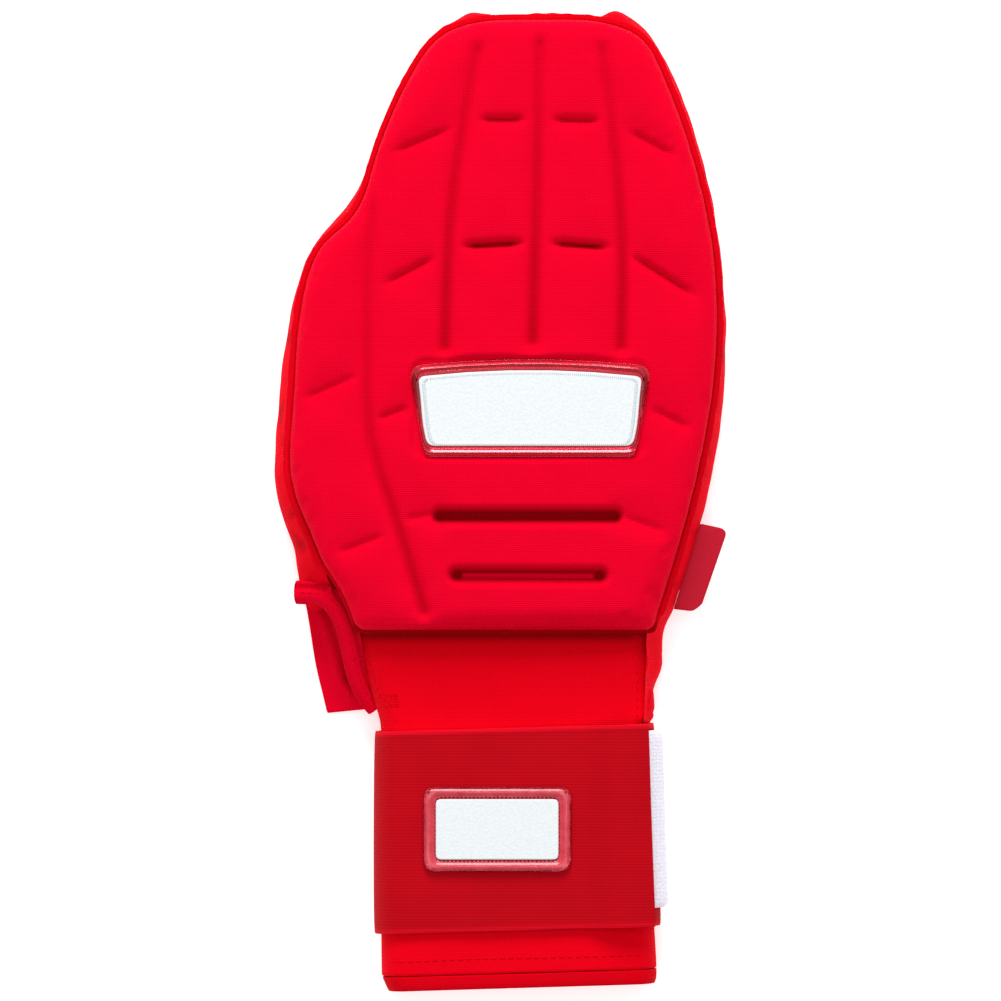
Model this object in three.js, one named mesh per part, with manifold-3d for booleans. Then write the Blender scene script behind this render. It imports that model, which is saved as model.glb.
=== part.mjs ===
// A sliding mitt for the right hand: a padded guard that a base runner wears. It lies palm down with its strap
// fastened. Millimetres, +Z up, +Y towards the fingertips, +X away from the thumb. The origin is on the surface
// that the mitt lies on, under the middle of its outline.
import * as THREE from "three";
import { mergeVertices } from "three/addons/utils/BufferGeometryUtils.js";
import Module from "manifold-3d";

const wasm = await Module();
wasm.setup();

// Sizes along the mitt, from the fingertips to the wrist
const padLength = 193;
const neckLength = 29; // bare sleeve between the pad and the strap
const strapHeight = 63;
const sleeveTail = 18; // sleeve that shows past the strap, its hem included
const hemHeight = 4.8;
const sleeveTuck = 6; // how far the sleeve reaches under the back pad

// Sizes across the mitt
const padWidth = 140.7; // over the side wall
const sleeveWidth = 83; // at the top of the strap
const sleeveOffset = 4.35; // middle of the sleeve, away from the thumb
const foldReach = 6.5; // how far a side fold of the sleeve stands out past its flat top
const cuffSlant = THREE.MathUtils.degToRad(1.7); // the cuff's edges rise to the right

// Heights and thicknesses
const palmThickness = 4.5;
const pocketHeight = 17;
const padThickness = 8; // at the ridge, where the bevel ends
const crownAcross = 3; // how much higher the pad is along its middle than at its sides
const crownAlong = 1.5; // how much higher it is half way along than at its ends
const bevelWidth = 3.4;
const channelWidth = 3.4;
const channelDepth = 1.7;
const slotWidth = 5.8;
const slotDepth = 3.4;
const cuffHeight = 18.4; // the flattened sleeve under the strap
const wallThickness = 1.6;
const wallBulge = 5; // how far the side wall stands out from the pad's seam, as a unit
const wallBite = 1.2; // how far the wall's top edge rises beside the pad
const palmInset = 0.5; // palm pad's edge, in from the wall's widest line
const sleeveThickness = 2;
const strapThickness = 2;
const strapSelvage = 0.9; // how far in from its edges the strap has its full thickness
const tabThickness = 1.3;
const tabSelvage = 0.6;
const hemRoll = 3.4; // thickness of the rolled thumb hem
const hemWidth = 5.6;
const gussetThickness = 2;
const hemStart = 14.5; // along the seam from the pad's lower corner to where the thumb hem closes the wall
const hemTurn = 24; // along the seam from there to where the wall stands square to it
const gap = 0.3; // between pieces that touch

// Badge on the back pad
const badgeTopWidth = 73.5;
const badgeLowWidth = 64;
const badgeHeight = 29;
const badgeArch = 2; // rise of its curved top edge
const badgeCorner = 4.2;
const badgeRim = 2.8;
const badgeThickness = 2.4;

// Patch on the strap
const patchWidth = 44;
const patchHeight = 25.4;
const patchCorner = 3.4;
const patchRim = 3.2;
const patchThickness = 1.9;
const fieldThickness = 0.6; // the white face of the badge and of the patch

// Label in the side wall
const tagLength = 27;
const tagReach = 8;
const tagThickness = 1.2;
const tagCorner = 2.4;
const tagHeight = 25.2; // its middle above the pad's lower edge

// Levels that follow from the sizes
const tipY = (padLength + neckLength + strapHeight + sleeveTail) / 2;
const hemY = tipY - padLength; // lower edge of the back pad
const mouthY = hemY + sleeveTuck;
const palmEndY = mouthY + gap;
const strapTopY = hemY - neckLength;
const strapLowY = strapTopY - strapHeight;
const sleeveEndY = strapLowY - sleeveTail;
const padBase = palmThickness + pocketHeight;
const strapLift = strapThickness + gap; // what the strap under the sleeve lifts it by
const cuffTop = strapLift + cuffHeight;

const { lerp, smoothstep } = THREE.MathUtils;
const v2 = (x, y) => new THREE.Vector2(x, y);
const v3 = (x, y, z) => new THREE.Vector3(x, y, z);

// The pad's seam, from the thumb side up over the fingertips and down the far side. `at` is a share of the pad's
// length above its lower edge, `across` a share of half its width, and `bulge` how far the wall stands out there.
const seamRows = [
  { at: 0.007, across: -0.634, bulge: 2.9 },
  { at: 0.049, across: -0.673, bulge: 2.75 },
  { at: 0.08, across: -0.716, bulge: 2.42 },
  { at: 0.113, across: -0.779, bulge: 1.7 },
  { at: 0.171, across: -0.846, bulge: 1.35 },
  { at: 0.229, across: -0.912, bulge: 1.06 },
  { at: 0.27, across: -0.929, bulge: 0.98 },
  { at: 0.406, across: -0.907, bulge: 0.94 },
  { at: 0.487, across: -0.894, bulge: 0.72 },
  { at: 0.559, across: -0.863, bulge: 0.54 },
  { at: 0.616, across: -0.806, bulge: 0.5 },
  { at: 0.638, across: -0.753, bulge: 0.58 },
  { at: 0.661, across: -0.673, bulge: 0.78 },
  { at: 0.695, across: -0.61, bulge: 0.66 },
  { at: 0.789, across: -0.53, bulge: 0.3 },
  { at: 0.892, across: -0.404, bulge: 0.34 },
  { at: 0.958, across: -0.276, bulge: 0.46 },
  { at: 0.982, across: -0.12, bulge: 0.5 },
  { at: 0.987, across: 0.174, bulge: 0.46 },
  { at: 0.983, across: 0.45, bulge: 0.56 },
  { at: 0.957, across: 0.624, bulge: 0.54 },
  { at: 0.87, across: 0.75, bulge: 0.64 },
  { at: 0.741, across: 0.868, bulge: 0.62 },
  { at: 0.62, across: 0.937, bulge: 0.5 },
  { at: 0.495, across: 0.956, bulge: 0.6 },
  { at: 0.4, across: 0.938, bulge: 0.74 },
  { at: 0.286, across: 0.885, bulge: 0.92 },
  { at: 0.181, across: 0.815, bulge: 1 },
  { at: 0.081, across: 0.735, bulge: 0.9 },
  { at: 0.007, across: 0.672, bulge: 0.88 },
];

// The side wall goes on down beside the neck. `down` is a share of the neck's length, and `stand` how far the
// wall's inner line is from the sleeve's edge, in gaps.
const tailRows = [
  { down: 0.3, stand: 3, bulge: 1.08 },
  { down: 0.58, stand: 1.5, bulge: 0.66 },
  { down: 0.88, stand: 1.2, bulge: 0.34 },
];

// Gathers in the wall round the fingertips and above the thumb hem: `at` and `width` are shares of the wall's
// length, and `depth` is a share of its bulge unit, inwards where it is negative.
const gatherRows = [
  { at: 0.441, width: 0.009, depth: 0.22 },
  { at: 0.462, width: 0.007, depth: -0.12 },
  { at: 0.521, width: 0.006, depth: -0.14 },
  { at: 0.538, width: 0.012, depth: 0.34 },
  { at: 0.06, width: 0.012, depth: -0.12 },
  { at: 0.093, width: 0.014, depth: 0.1 },
];

// Channels and slots pressed into the back pad. Each path is a list of [at, across] pairs in the seam's shares.
// `wide` and `deep` are shares of the channel's size, and `fade` is the share of the depth left at its ends.
const channelRows = [
  { of: "middle finger", wide: 0.9, deep: 1, fade: 0.3, path: [[0.962, 0.174], [0.776, 0.166], [0.47, 0.143]] },
  {
    of: "finger, thumb side",
    wide: 1,
    deep: 0.95,
    fade: 0.3,
    path: [[0.952, -0.09], [0.812, -0.166], [0.656, -0.227], [0.462, -0.245]],
  },
  {
    of: "finger, far side",
    wide: 1,
    deep: 0.95,
    fade: 0.3,
    path: [[0.952, 0.439], [0.825, 0.492], [0.616, 0.545], [0.462, 0.532]],
  },
  {
    of: "thumb",
    wide: 0.95,
    deep: 1,
    fade: 0.4,
    path: [[0.682, -0.567], [0.535, -0.589], [0.342, -0.589], [0.262, -0.541], [0.184, -0.461], [0.036, -0.338]],
  },
  { of: "upper cross, thumb side", wide: 0.85, deep: 1.2, fade: 0.6, path: [[0.825, -0.09], [0.825, 0.11]] },
  { of: "upper cross, far side", wide: 0.85, deep: 1.2, fade: 0.6, path: [[0.825, 0.225], [0.823, 0.44]] },
  { of: "upper edge, thumb side", wide: 0.72, deep: 0.75, fade: 0.4, path: [[0.772, -0.47], [0.812, -0.214]] },
  { of: "upper edge, far side", wide: 0.72, deep: 0.75, fade: 0.4, path: [[0.805, 0.576], [0.767, 0.766]] },
  { of: "lower cross, thumb side", wide: 0.9, deep: 1.35, fade: 0.6, path: [[0.622, -0.175], [0.628, 0.108]] },
  { of: "lower cross, far side", wide: 0.9, deep: 1.35, fade: 0.6, path: [[0.628, 0.219], [0.62, 0.483]] },
  { of: "lower edge, thumb side", wide: 0.72, deep: 0.8, fade: 0.4, path: [[0.562, -0.51], [0.603, -0.294]] },
  { of: "lower edge, far side", wide: 0.76, deep: 0.9, fade: 0.4, path: [[0.609, 0.572], [0.54, 0.868]] },
  { of: "thumb cross, upper", wide: 0.72, deep: 0.65, fade: 0.4, path: [[0.377, -0.868], [0.416, -0.629]] },
  { of: "thumb cross, lower", wide: 0.72, deep: 0.6, fade: 0.4, path: [[0.131, -0.717], [0.159, -0.514]] },
  { of: "beside badge, thumb side", wide: 0.72, deep: 0.65, fade: 0.4, path: [[0.345, -0.541], [0.364, -0.41]] },
  { of: "beside badge, far side", wide: 0.72, deep: 0.65, fade: 0.4, path: [[0.361, 0.669], [0.332, 0.828]] },
  { of: "slot wing, thumb side", wide: 0.72, deep: 0.8, fade: 0.4, path: [[0.183, -0.435], [0.194, -0.28]] },
  {
    of: "slot wing, far side",
    wide: 0.8,
    deep: 0.9,
    fade: 0.4,
    path: [[0.192, 0.515], [0.178, 0.625], [0.163, 0.739]],
  },
];
const slotRows = [
  { of: "upper slot", wide: 1, deep: 1, fade: 0.8, path: [[0.194, -0.285], [0.191, 0.52]] },
  { of: "lower slot", wide: 1, deep: 1, fade: 0.8, path: [[0.096, -0.21], [0.094, 0.455]] },
];

// The sleeve, from its mouth under the pad to its hem. `left` and `right` are shares of half its width from its
// own middle, `drop` goes from the pad's underside to the cuff's height, and `lift` is the strap's share under it.
const sleeveRows = [
  { y: mouthY, left: -1.217, right: 0.985, drop: 0, lift: 0 },
  { y: hemY, left: -1.172, right: 0.978, drop: 0, lift: 0 },
  { y: hemY - 0.3 * neckLength, left: -1.142, right: 0.97, drop: 0.25, lift: 0.1 },
  { y: hemY - 0.62 * neckLength, left: -1.075, right: 0.966, drop: 0.6, lift: 0.35 },
  { y: hemY - 0.86 * neckLength, left: -1.015, right: 0.978, drop: 1, lift: 0.8 },
  { y: strapTopY, left: -1, right: 1, drop: 1, lift: 1 },
  { y: strapTopY - 0.5 * strapHeight, left: -1.007, right: 1.019, drop: 1, lift: 1 },
  { y: strapLowY, left: -1.004, right: 1.052, drop: 1, lift: 1 },
  { y: strapLowY - 0.4 * (sleeveTail - hemHeight), left: -1.003, right: 1.062, drop: 0.9, lift: 0.6 },
  { y: sleeveEndY + hemHeight, left: -1, right: 1.071, drop: 0.85, lift: 0.25 },
];

// Closes a row of rings, each with the same number of points, into one geometry that faces outwards. The ends are
// filled by a "fan" from the middle of the end ring, or by a "strip" between the two halves of a folded one.
// Without `ends` the last ring joins the first.
function skin(rings, ends) {
  const count = rings[0].length;
  const points = rings.flat();
  const faces = [];
  for (let r = 0; r < (ends ? rings.length - 1 : rings.length); r++) {
    const next = (r + 1) % rings.length;
    for (let i = 0; i < count; i++) {
      const j = (i + 1) % count;
      faces.push([r * count + i, r * count + j, next * count + j]);
      faces.push([r * count + i, next * count + j, next * count + i]);
    }
  }
  for (const r of ends ? [0, rings.length - 1] : []) {
    const turned = (face) => (r === 0 ? face.reverse() : face);
    if (ends === "fan") {
      points.push(middleOf(rings[r]));
      for (let i = 0; i < count; i++) {
        faces.push(turned([points.length - 1, r * count + i, r * count + ((i + 1) % count)]));
      }
    } else {
      for (let i = 0; i < count / 2 - 1; i++) {
        const [a, b, c, d] = [i, i + 1, count - 2 - i, count - 1 - i].map((k) => r * count + k);
        faces.push(turned([a, b, c]), turned([a, c, d]));
      }
    }
  }
  const geometry = new THREE.BufferGeometry().setFromPoints(points);
  geometry.setIndex(faces.flat());
  if (signedVolume(geometry) < 0) geometry.setIndex(faces.flatMap((face) => face.reverse()));
  return geometry;
}

function middleOf(points) {
  return points.reduce((sum, p) => sum.add(p), v3()).divideScalar(points.length);
}

function signedVolume(geometry) {
  const corner = (i) => v3().fromBufferAttribute(geometry.attributes.position, geometry.index.getX(i));
  let sum = 0;
  for (let i = 0; i < geometry.index.count; i += 3) sum += corner(i).dot(corner(i + 1).cross(corner(i + 2)));
  return sum / 6;
}

// A closed geometry as a solid that can be cut, and back.
function toSolid(geometry) {
  const merged = mergeVertices(geometry.clone().deleteAttribute("normal").deleteAttribute("uv"));
  return new wasm.Manifold(
    new wasm.Mesh({
      numProp: 3,
      vertProperties: new Float32Array(merged.attributes.position.array),
      triVerts: new Uint32Array(merged.index.array),
    }),
  );
}

function fromSolid(solid) {
  const mesh = solid.getMesh();
  const geometry = new THREE.BufferGeometry();
  geometry.setAttribute("position", new THREE.Float32BufferAttribute(mesh.vertProperties, 3));
  geometry.setIndex([...mesh.triVerts]);
  return geometry;
}

function piece(name, geometry, finish) {
  geometry.computeVertexNormals();
  const mesh = new THREE.Mesh(geometry, finish);
  mesh.name = name;
  return mesh;
}

// The values of a table's columns at a height y, straight between its rows.
function between(rows, y) {
  const last = rows.length - 1;
  const found = rows.findIndex((row) => row.y <= y);
  const low = found < 0 ? last : Math.max(found, 1);
  const [a, b] = [rows[low - 1], rows[low]];
  const share = THREE.MathUtils.clamp((a.y - y) / (a.y - b.y), 0, 1);
  return Object.fromEntries(Object.keys(a).map((key) => [key, lerp(a[key], b[key], share)]));
}

// Cross-section of the flattened sleeve at a height y.
function sleeveAt(y) {
  const row = between(sleeveRows, y);
  return {
    left: sleeveOffset + (row.left * sleeveWidth) / 2,
    right: sleeveOffset + (row.right * sleeveWidth) / 2,
    low: row.lift * strapLift,
    high: lerp(padBase - gap, cuffTop, row.drop),
  };
}

// A point of the sleeve's cross-section, `out` from its surface. `around` counts turns, clockwise from the wrist
// end: the right fold, the underside, the left fold and the top, from the fold on the right back to it.
const foldShare = 0.2;
function sleevePoint(y, around, out) {
  const { left, right, low, high } = sleeveAt(y);
  const [flatLeft, flatRight] = [left + foldReach, right - foldReach];
  const [middle, half] = [(low + high) / 2, (high - low) / 2];
  const turn = around - Math.floor(around);
  const side = turn % 0.5;
  const underside = turn < 0.5;
  let x;
  let z;
  if (side < foldShare) {
    const angle = (Math.PI * side) / foldShare;
    const way = underside ? 1 : -1;
    x = (underside ? flatRight : flatLeft) + way * (foldReach + out) * Math.sin(angle);
    z = middle + way * (half + out) * Math.cos(angle);
  } else {
    const share = (side - foldShare) / (0.5 - foldShare);
    x = underside ? lerp(flatRight, flatLeft, share) : lerp(flatLeft, flatRight, share);
    z = underside ? low - out : high + out;
  }
  return slanted(v3(x, y, z));
}

// The cuff's edges slope, more and more from the pad down to the strap.
function slanted(point) {
  const share = smoothstep((hemY - point.y) / neckLength, 0, 1);
  point.y += (point.x - sleeveOffset) * Math.tan(cuffSlant) * share;
  return point;
}

// Stops round the sleeve: close together in the folds, wide apart on the flats.
function turnStops(foldSteps, flatSteps) {
  const stops = [];
  for (const half of [0, 0.5]) {
    for (let i = 0; i < foldSteps; i++) stops.push(half + (foldShare * i) / foldSteps);
    for (let i = 0; i < flatSteps; i++) stops.push(half + lerp(foldShare, 0.5, i / flatSteps));
  }
  return stops;
}

// A cloth tube on the sleeve's cross-section. Each station is a height with the place of the outer and inner face.
function tube(stations) {
  const rings = turnStops(8, 4).map((turn) => [
    ...stations.map(({ y, outer }) => sleevePoint(y, turn, outer)),
    ...stations.toReversed().map(({ y, inner }) => sleevePoint(y, turn, inner)),
  ]);
  return skin(rings);
}

// The seam as a curve, with the wall's tail. Its z holds the wall's bulge, so that the curve smooths that too.
const seamPoints = seamRows.map(({ at, across, bulge }) =>
  v3((across * padWidth) / 2, hemY + at * padLength, bulge * wallBulge),
);
const tailPoints = tailRows.map(({ down, stand, bulge }) => {
  const y = hemY - down * neckLength;
  return v3(sleeveAt(y).right + stand * gap, y, bulge * wallBulge);
});
const seamLine = new THREE.CatmullRomCurve3([...seamPoints, ...tailPoints], false, "centripetal");
const seamLength = seamLine.getLength();
const lengths = seamLine.getLengths(20 * (seamPoints.length + tailPoints.length - 1));
const padShare = lengths[20 * (seamPoints.length - 1)] / seamLength; // where the pad's seam ends and the tail begins

// Where the line is at a share of its length, and which way is out. Up to the thumb hem, out points straight
// across the mitt.
function stationAt(share) {
  const point = seamLine.getPointAt(share);
  const tangent = seamLine.getTangentAt(share).setZ(0).normalize();
  const turned = smoothstep(share * seamLength - hemStart, 0, hemTurn);
  const out = v3(-1, 0, 0).lerp(v3(-tangent.y, tangent.x, 0), turned).normalize();
  return { share, x: point.x, y: point.y, bulge: point.z, out, tangent };
}

// Stops along the line, closest together round the fingertips. `to` is a share of the pad's seam.
const seamRuns = [
  { to: 0.38, steps: 29 },
  { to: 0.6, steps: 25 },
  { to: 1, steps: 24 },
];
const tailSteps = 9;

function stops(from, to, steps) {
  return Array.from({ length: steps }, (_, i) => lerp(from, to, (i + 1) / steps));
}

const seamStations = [
  0,
  ...seamRuns.flatMap(({ to, steps }, i) => stops(i ? seamRuns[i - 1].to : 0, to, steps)),
].map((share) => stationAt(share * padShare));
const tailStations = stops(padShare, 1, tailSteps).map(stationAt);

// The line that the pad's rings close in on.
const spine = new THREE.Line3(
  v3(0.02 * padWidth, hemY + 0.25 * padLength, 0),
  v3(0.08 * padWidth, hemY + 0.75 * padLength, 0),
);

// Moves a point of an outline in from its edge towards the spine, by a distance square to the edge.
function inset({ x, y, out }, distance) {
  const point = v3(x, y, 0);
  const inwards = spine.closestPointToPoint(point, true, v3()).sub(point).normalize();
  const square = Math.max(0.55, -inwards.dot(out));
  return point.addScaledVector(inwards, distance / square);
}

// Height of the back pad's top over a point.
function padTop(x, y) {
  const spineX = lerp(spine.start.x, spine.end.x, (y - spine.start.y) / (spine.end.y - spine.start.y));
  const u = (x - spineX) / (padWidth / 2);
  const v = (y - hemY - padLength / 2) / (padLength / 2);
  return padBase + padThickness + crownAcross * (1 - u * u) + crownAlong * (1 - v * v);
}

// The pad's outline as a closed loop: along the seam, then back along its straight lower edge.
const edgeSteps = 8;
function padOutline() {
  const [first, last] = [seamStations[0], seamStations.at(-1)];
  const lower = stops(0, 1, edgeSteps).map((share) => {
    return { x: lerp(last.x, first.x, share), y: lerp(last.y, first.y, share), out: v3(0, -1, 0) };
  });
  return [...seamStations, ...lower.slice(0, -1)];
}

// The moulded edge of the back pad: `inset` is a share of the bevel's width, `rise` of the pad's height there.
const padEdge = [
  { inset: 0, rise: 0 },
  { inset: 0, rise: 0.18 },
  { inset: 0.28, rise: 0.66 },
  { inset: 0.6, rise: 0.9 },
  { inset: 1, rise: 1 },
];
const padFieldShares = [0.12, 0.5, 0.85]; // rings of the pad's face, from the ridge in towards the spine

function backPad() {
  const outline = padOutline();
  const lifted = (p, rise) => p.setZ(padBase + rise * (padTop(p.x, p.y) - padBase));
  const rings = padEdge.map((row) => outline.map((p) => lifted(inset(p, row.inset * bevelWidth), row.rise)));
  const ridge = rings.at(-1);
  for (const share of padFieldShares) {
    rings.push(
      ridge.map((p) => {
        const centre = spine.closestPointToPoint(v3(p.x, p.y, 0), true, v3());
        return lifted(v3(lerp(p.x, centre.x, share), lerp(p.y, centre.y, share), 0), 1);
      }),
    );
  }
  let solid = toSolid(skin(rings, "fan"));
  for (const row of channelRows) solid = solid.subtract(channel(row, channelWidth, channelDepth));
  for (const row of slotRows) solid = solid.subtract(channel(row, slotWidth, slotDepth));
  return fromSolid(solid.subtract(badgeSeat()));
}

// A cutter for one channel: a bar with sloping sides that follows the pad's face. Its section's points are a
// share of the width to the side of its path, and a height over the pad's face.
const channelStep = 9;
function channel(row, width, depth) {
  const corners = row.path.map(([at, across]) => v3((across * padWidth) / 2, hemY + at * padLength, 0));
  const line = new THREE.CatmullRomCurve3(corners, false, "centripetal");
  const above = padThickness / 2;
  const steps = Math.max(3, Math.round(line.getLength() / channelStep));
  const rings = [];
  for (let i = 0; i <= steps; i++) {
    const { x, y } = line.getPointAt(i / steps);
    const tangent = line.getTangentAt(i / steps);
    const full = lerp(row.fade, 1, Math.min(1, 3 * Math.min(i / steps, 1 - i / steps)));
    const deep = row.deep * depth * full;
    const profile = [
      [-0.62, above],
      [0.62, above],
      [0.5, 0],
      [0.24, -0.85 * deep],
      [0, -deep],
      [-0.24, -0.85 * deep],
      [-0.5, 0],
    ];
    rings.push(
      profile.map(([side, up]) => {
        const away = side * row.wide * width;
        const [px, py] = [x - tangent.y * away, y + tangent.x * away];
        return v3(px, py, padTop(px, py) + up);
      }),
    );
  }
  return toSolid(skin(rings, "fan"));
}

// Side wall: a strip of cloth that bows outwards between the palm pad's edge and the back pad's seam.
const bowStops = [0, 0.18, 0.4, 0.62, 0.84, 1];
const wallStations = [...seamStations.filter(({ share }) => share * seamLength >= hemStart), ...tailStations];

function wallReach({ share, bulge }) {
  const gathered = gatherRows.map((row) => row.depth * Math.exp(-(((share - row.at) / row.width) ** 2)));
  return bulge + wallBulge * gathered.reduce((sum, depth) => sum + depth, 0);
}

function wallLevels(y) {
  const beside = smoothstep((hemY - y) / (0.4 * neckLength), 0, 1);
  const past = smoothstep((palmEndY - sleeveTuck - y) / (0.4 * neckLength), 0, 1);
  return {
    low: lerp(palmThickness + gap, gap, past),
    high: lerp(padBase + wallBite, 0.66 * cuffTop, beside),
  };
}

function wallRing(spot) {
  const { x, y, out } = spot;
  const reach = wallReach(spot);
  const { low, high } = wallLevels(y);
  const foot = reach - wallThickness / 2 - palmInset;
  const top = wallThickness / 2 + gap;
  const bow = reach - wallThickness / 2 - (foot + top) / 2;
  const face = (stops, offset) =>
    stops.map((stop) => {
      const distance = lerp(foot, top, stop) + bow * Math.sin(Math.PI * stop) + offset;
      return v3(x + out.x * distance, y + out.y * distance, lerp(low, high, stop));
    });
  return [...face(bowStops, wallThickness / 2), ...face(bowStops.toReversed(), -wallThickness / 2)];
}

function sideWall() {
  return skin(wallStations.map(wallRing), "strip");
}

// Palm pad: flat where it rests, with a rounded edge just inside the wall's widest line. Its edge is in shares of
// its thickness.
const palmEdge = [
  { inset: 0.36, rise: 0 },
  { inset: 0.08, rise: 0.22 },
  { inset: 0, rise: 0.5 },
  { inset: 0.07, rise: 0.86 },
  { inset: 0.27, rise: 1 },
];
function palmOutline() {
  const seam = seamStations.filter(({ y }) => y > palmEndY + 1);
  const side = seam.map((spot) => {
    const reach = spot.bulge - palmInset;
    return { x: spot.x + spot.out.x * reach, y: spot.y + spot.out.y * reach, out: spot.out };
  });
  const first = { x: side[0].x, y: palmEndY, out: v3(-1, -1, 0).normalize() };
  const last = { x: side.at(-1).x, y: palmEndY, out: v3(1, -1, 0).normalize() };
  const lower = stops(0, 1, edgeSteps).map((share) => {
    return { x: lerp(last.x, first.x, share), y: palmEndY, out: v3(0, -1, 0) };
  });
  return [first, ...side, last, ...lower.slice(0, -1)];
}

function palmPad() {
  const outline = palmOutline();
  const rings = palmEdge.map((row) => {
    return outline.map((p) => inset(p, row.inset * palmThickness).setZ(row.rise * palmThickness));
  });
  return skin(rings, "fan");
}

function sleeve() {
  const stations = sleeveRows.map(({ y }) => ({ y, outer: 0, inner: -sleeveThickness }));
  return tube(stations);
}

// The hem is turned up once, so it is thicker than the sleeve, inwards, with a rounded lower edge.
function sleeveHem() {
  const round = 0.25 * hemHeight;
  const [top, low] = [sleeveEndY + hemHeight - gap, sleeveEndY];
  const inner = -1.5 * sleeveThickness;
  return tube([
    { y: top, outer: 0, inner },
    { y: low + round, outer: 0, inner },
    { y: low, outer: -0.35 * sleeveThickness, inner: inner + 0.35 * sleeveThickness },
  ]);
}

// The strap goes once round the sleeve. It starts on the right fold, and climbs over the hook tape there.
const lapStart = 0.93; // where its end begins to climb, in turns
const lapFull = 0.992;
const strapEnd = 1.036;
function lapHeight(around) {
  return smoothstep(around, lapStart, lapFull) * (strapThickness + tabThickness + 2 * gap);
}

// A band laid on the sleeve between two turns. `under` is what lies between it and the sleeve.
function band({ turns, top, low, thickness, under, selvage }) {
  const middle = sleeveRows[6].y;
  const stations = [
    { y: top, share: 0.55 },
    { y: top - selvage, share: 1 },
    { y: middle, share: 1 },
    { y: low + selvage, share: 1 },
    { y: low, share: 0.55 },
  ];
  const face = (list, turn, side) =>
    list.map(({ y, share }) => sleevePoint(y, turn, under(turn) + gap + (thickness * (1 + side * share)) / 2));
  const rings = turns.map((turn) => [...face(stations, turn, 1), ...face(stations.toReversed(), turn, -1)]);
  return skin(rings, "strip");
}

function wristStrap() {
  const lap = [0.25, 0.5, 0.75, 1].map((share) => lerp(lapStart, lapFull, share));
  const end = [1 + 0.4 * (strapEnd - 1), strapEnd];
  const turns = [...turnStops(10, 3).filter((turn) => turn < lapStart), lapStart, ...lap, ...end];
  return band({
    turns,
    top: strapTopY,
    low: strapLowY,
    thickness: strapThickness,
    under: lapHeight,
    selvage: strapSelvage,
  });
}

// Hook tape: sewn under the strap's end, it holds the strap's start on the right fold.
const tabStart = 0.006;
const tabEnd = 0.15;
const tabDown = 0.035; // from the strap's top edge, as a share of its height
const tabUp = 0.09; // from its lower edge
function hookTab() {
  const steps = 9;
  const turns = Array.from({ length: steps + 1 }, (_, i) => lerp(tabStart, tabEnd, i / steps));
  return band({
    turns,
    top: strapTopY - tabDown * strapHeight,
    low: strapLowY + tabUp * strapHeight,
    thickness: tabThickness,
    under: () => strapThickness + gap,
    selvage: tabSelvage,
  });
}

// Thumb gusset: a loose flap beside the neck that rises from the surface to the sleeve's side. `down` is a share
// of the flap's height, `reach` of the width from the sleeve to the palm pad's corner, and `rise` of the cuff's
// height at the flap's inner edge.
const flapTopY = mouthY;
const flapLowY = strapTopY + 0.14 * neckLength;
const flapSlope = 1.6; // how much higher its lower edge ends beside the sleeve
const flapWidth = sleeveAt(flapTopY).left - palmOutline()[0].x;
const gussetRows = [
  { down: 0, reach: 0.95, rise: 0.58 },
  { down: 0.25, reach: 0.94, rise: 0.56 },
  { down: 0.5, reach: 0.96, rise: 0.44 },
  { down: 0.75, reach: 0.98, rise: 0.32 },
  { down: 1, reach: 1.04, rise: 0.2 },
];
const gussetStops = [0, 0.2, 0.4, 0.6, 0.8, 1];

// A point in the middle of the flap's cloth, `inward` from its free edge to the sleeve.
function gussetPoint(down, inward) {
  const { reach, rise } = between(gussetRows.map((row) => ({ ...row, y: -row.down })), -down);
  const y = lerp(flapTopY, flapLowY, down);
  const edge = sleeveAt(y).left - 2 * gap;
  const x = edge - reach * flapWidth * (1 - inward);
  const z = gussetThickness / 2 + rise * cuffHeight * smoothstep(inward, 0.15, 1);
  return v3(x, y + flapSlope * inward * down, z);
}

function thumbGusset() {
  const rings = gussetRows.map(({ down }) => {
    const middle = gussetStops.map((stop) => gussetPoint(down, stop));
    const side = (list, way) => list.map((p) => v3(p.x, p.y, p.z + (way * gussetThickness) / 2));
    return [...side(middle, 1), ...side(middle.toReversed(), -1)];
  });
  return skin(rings, "strip");
}

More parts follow.
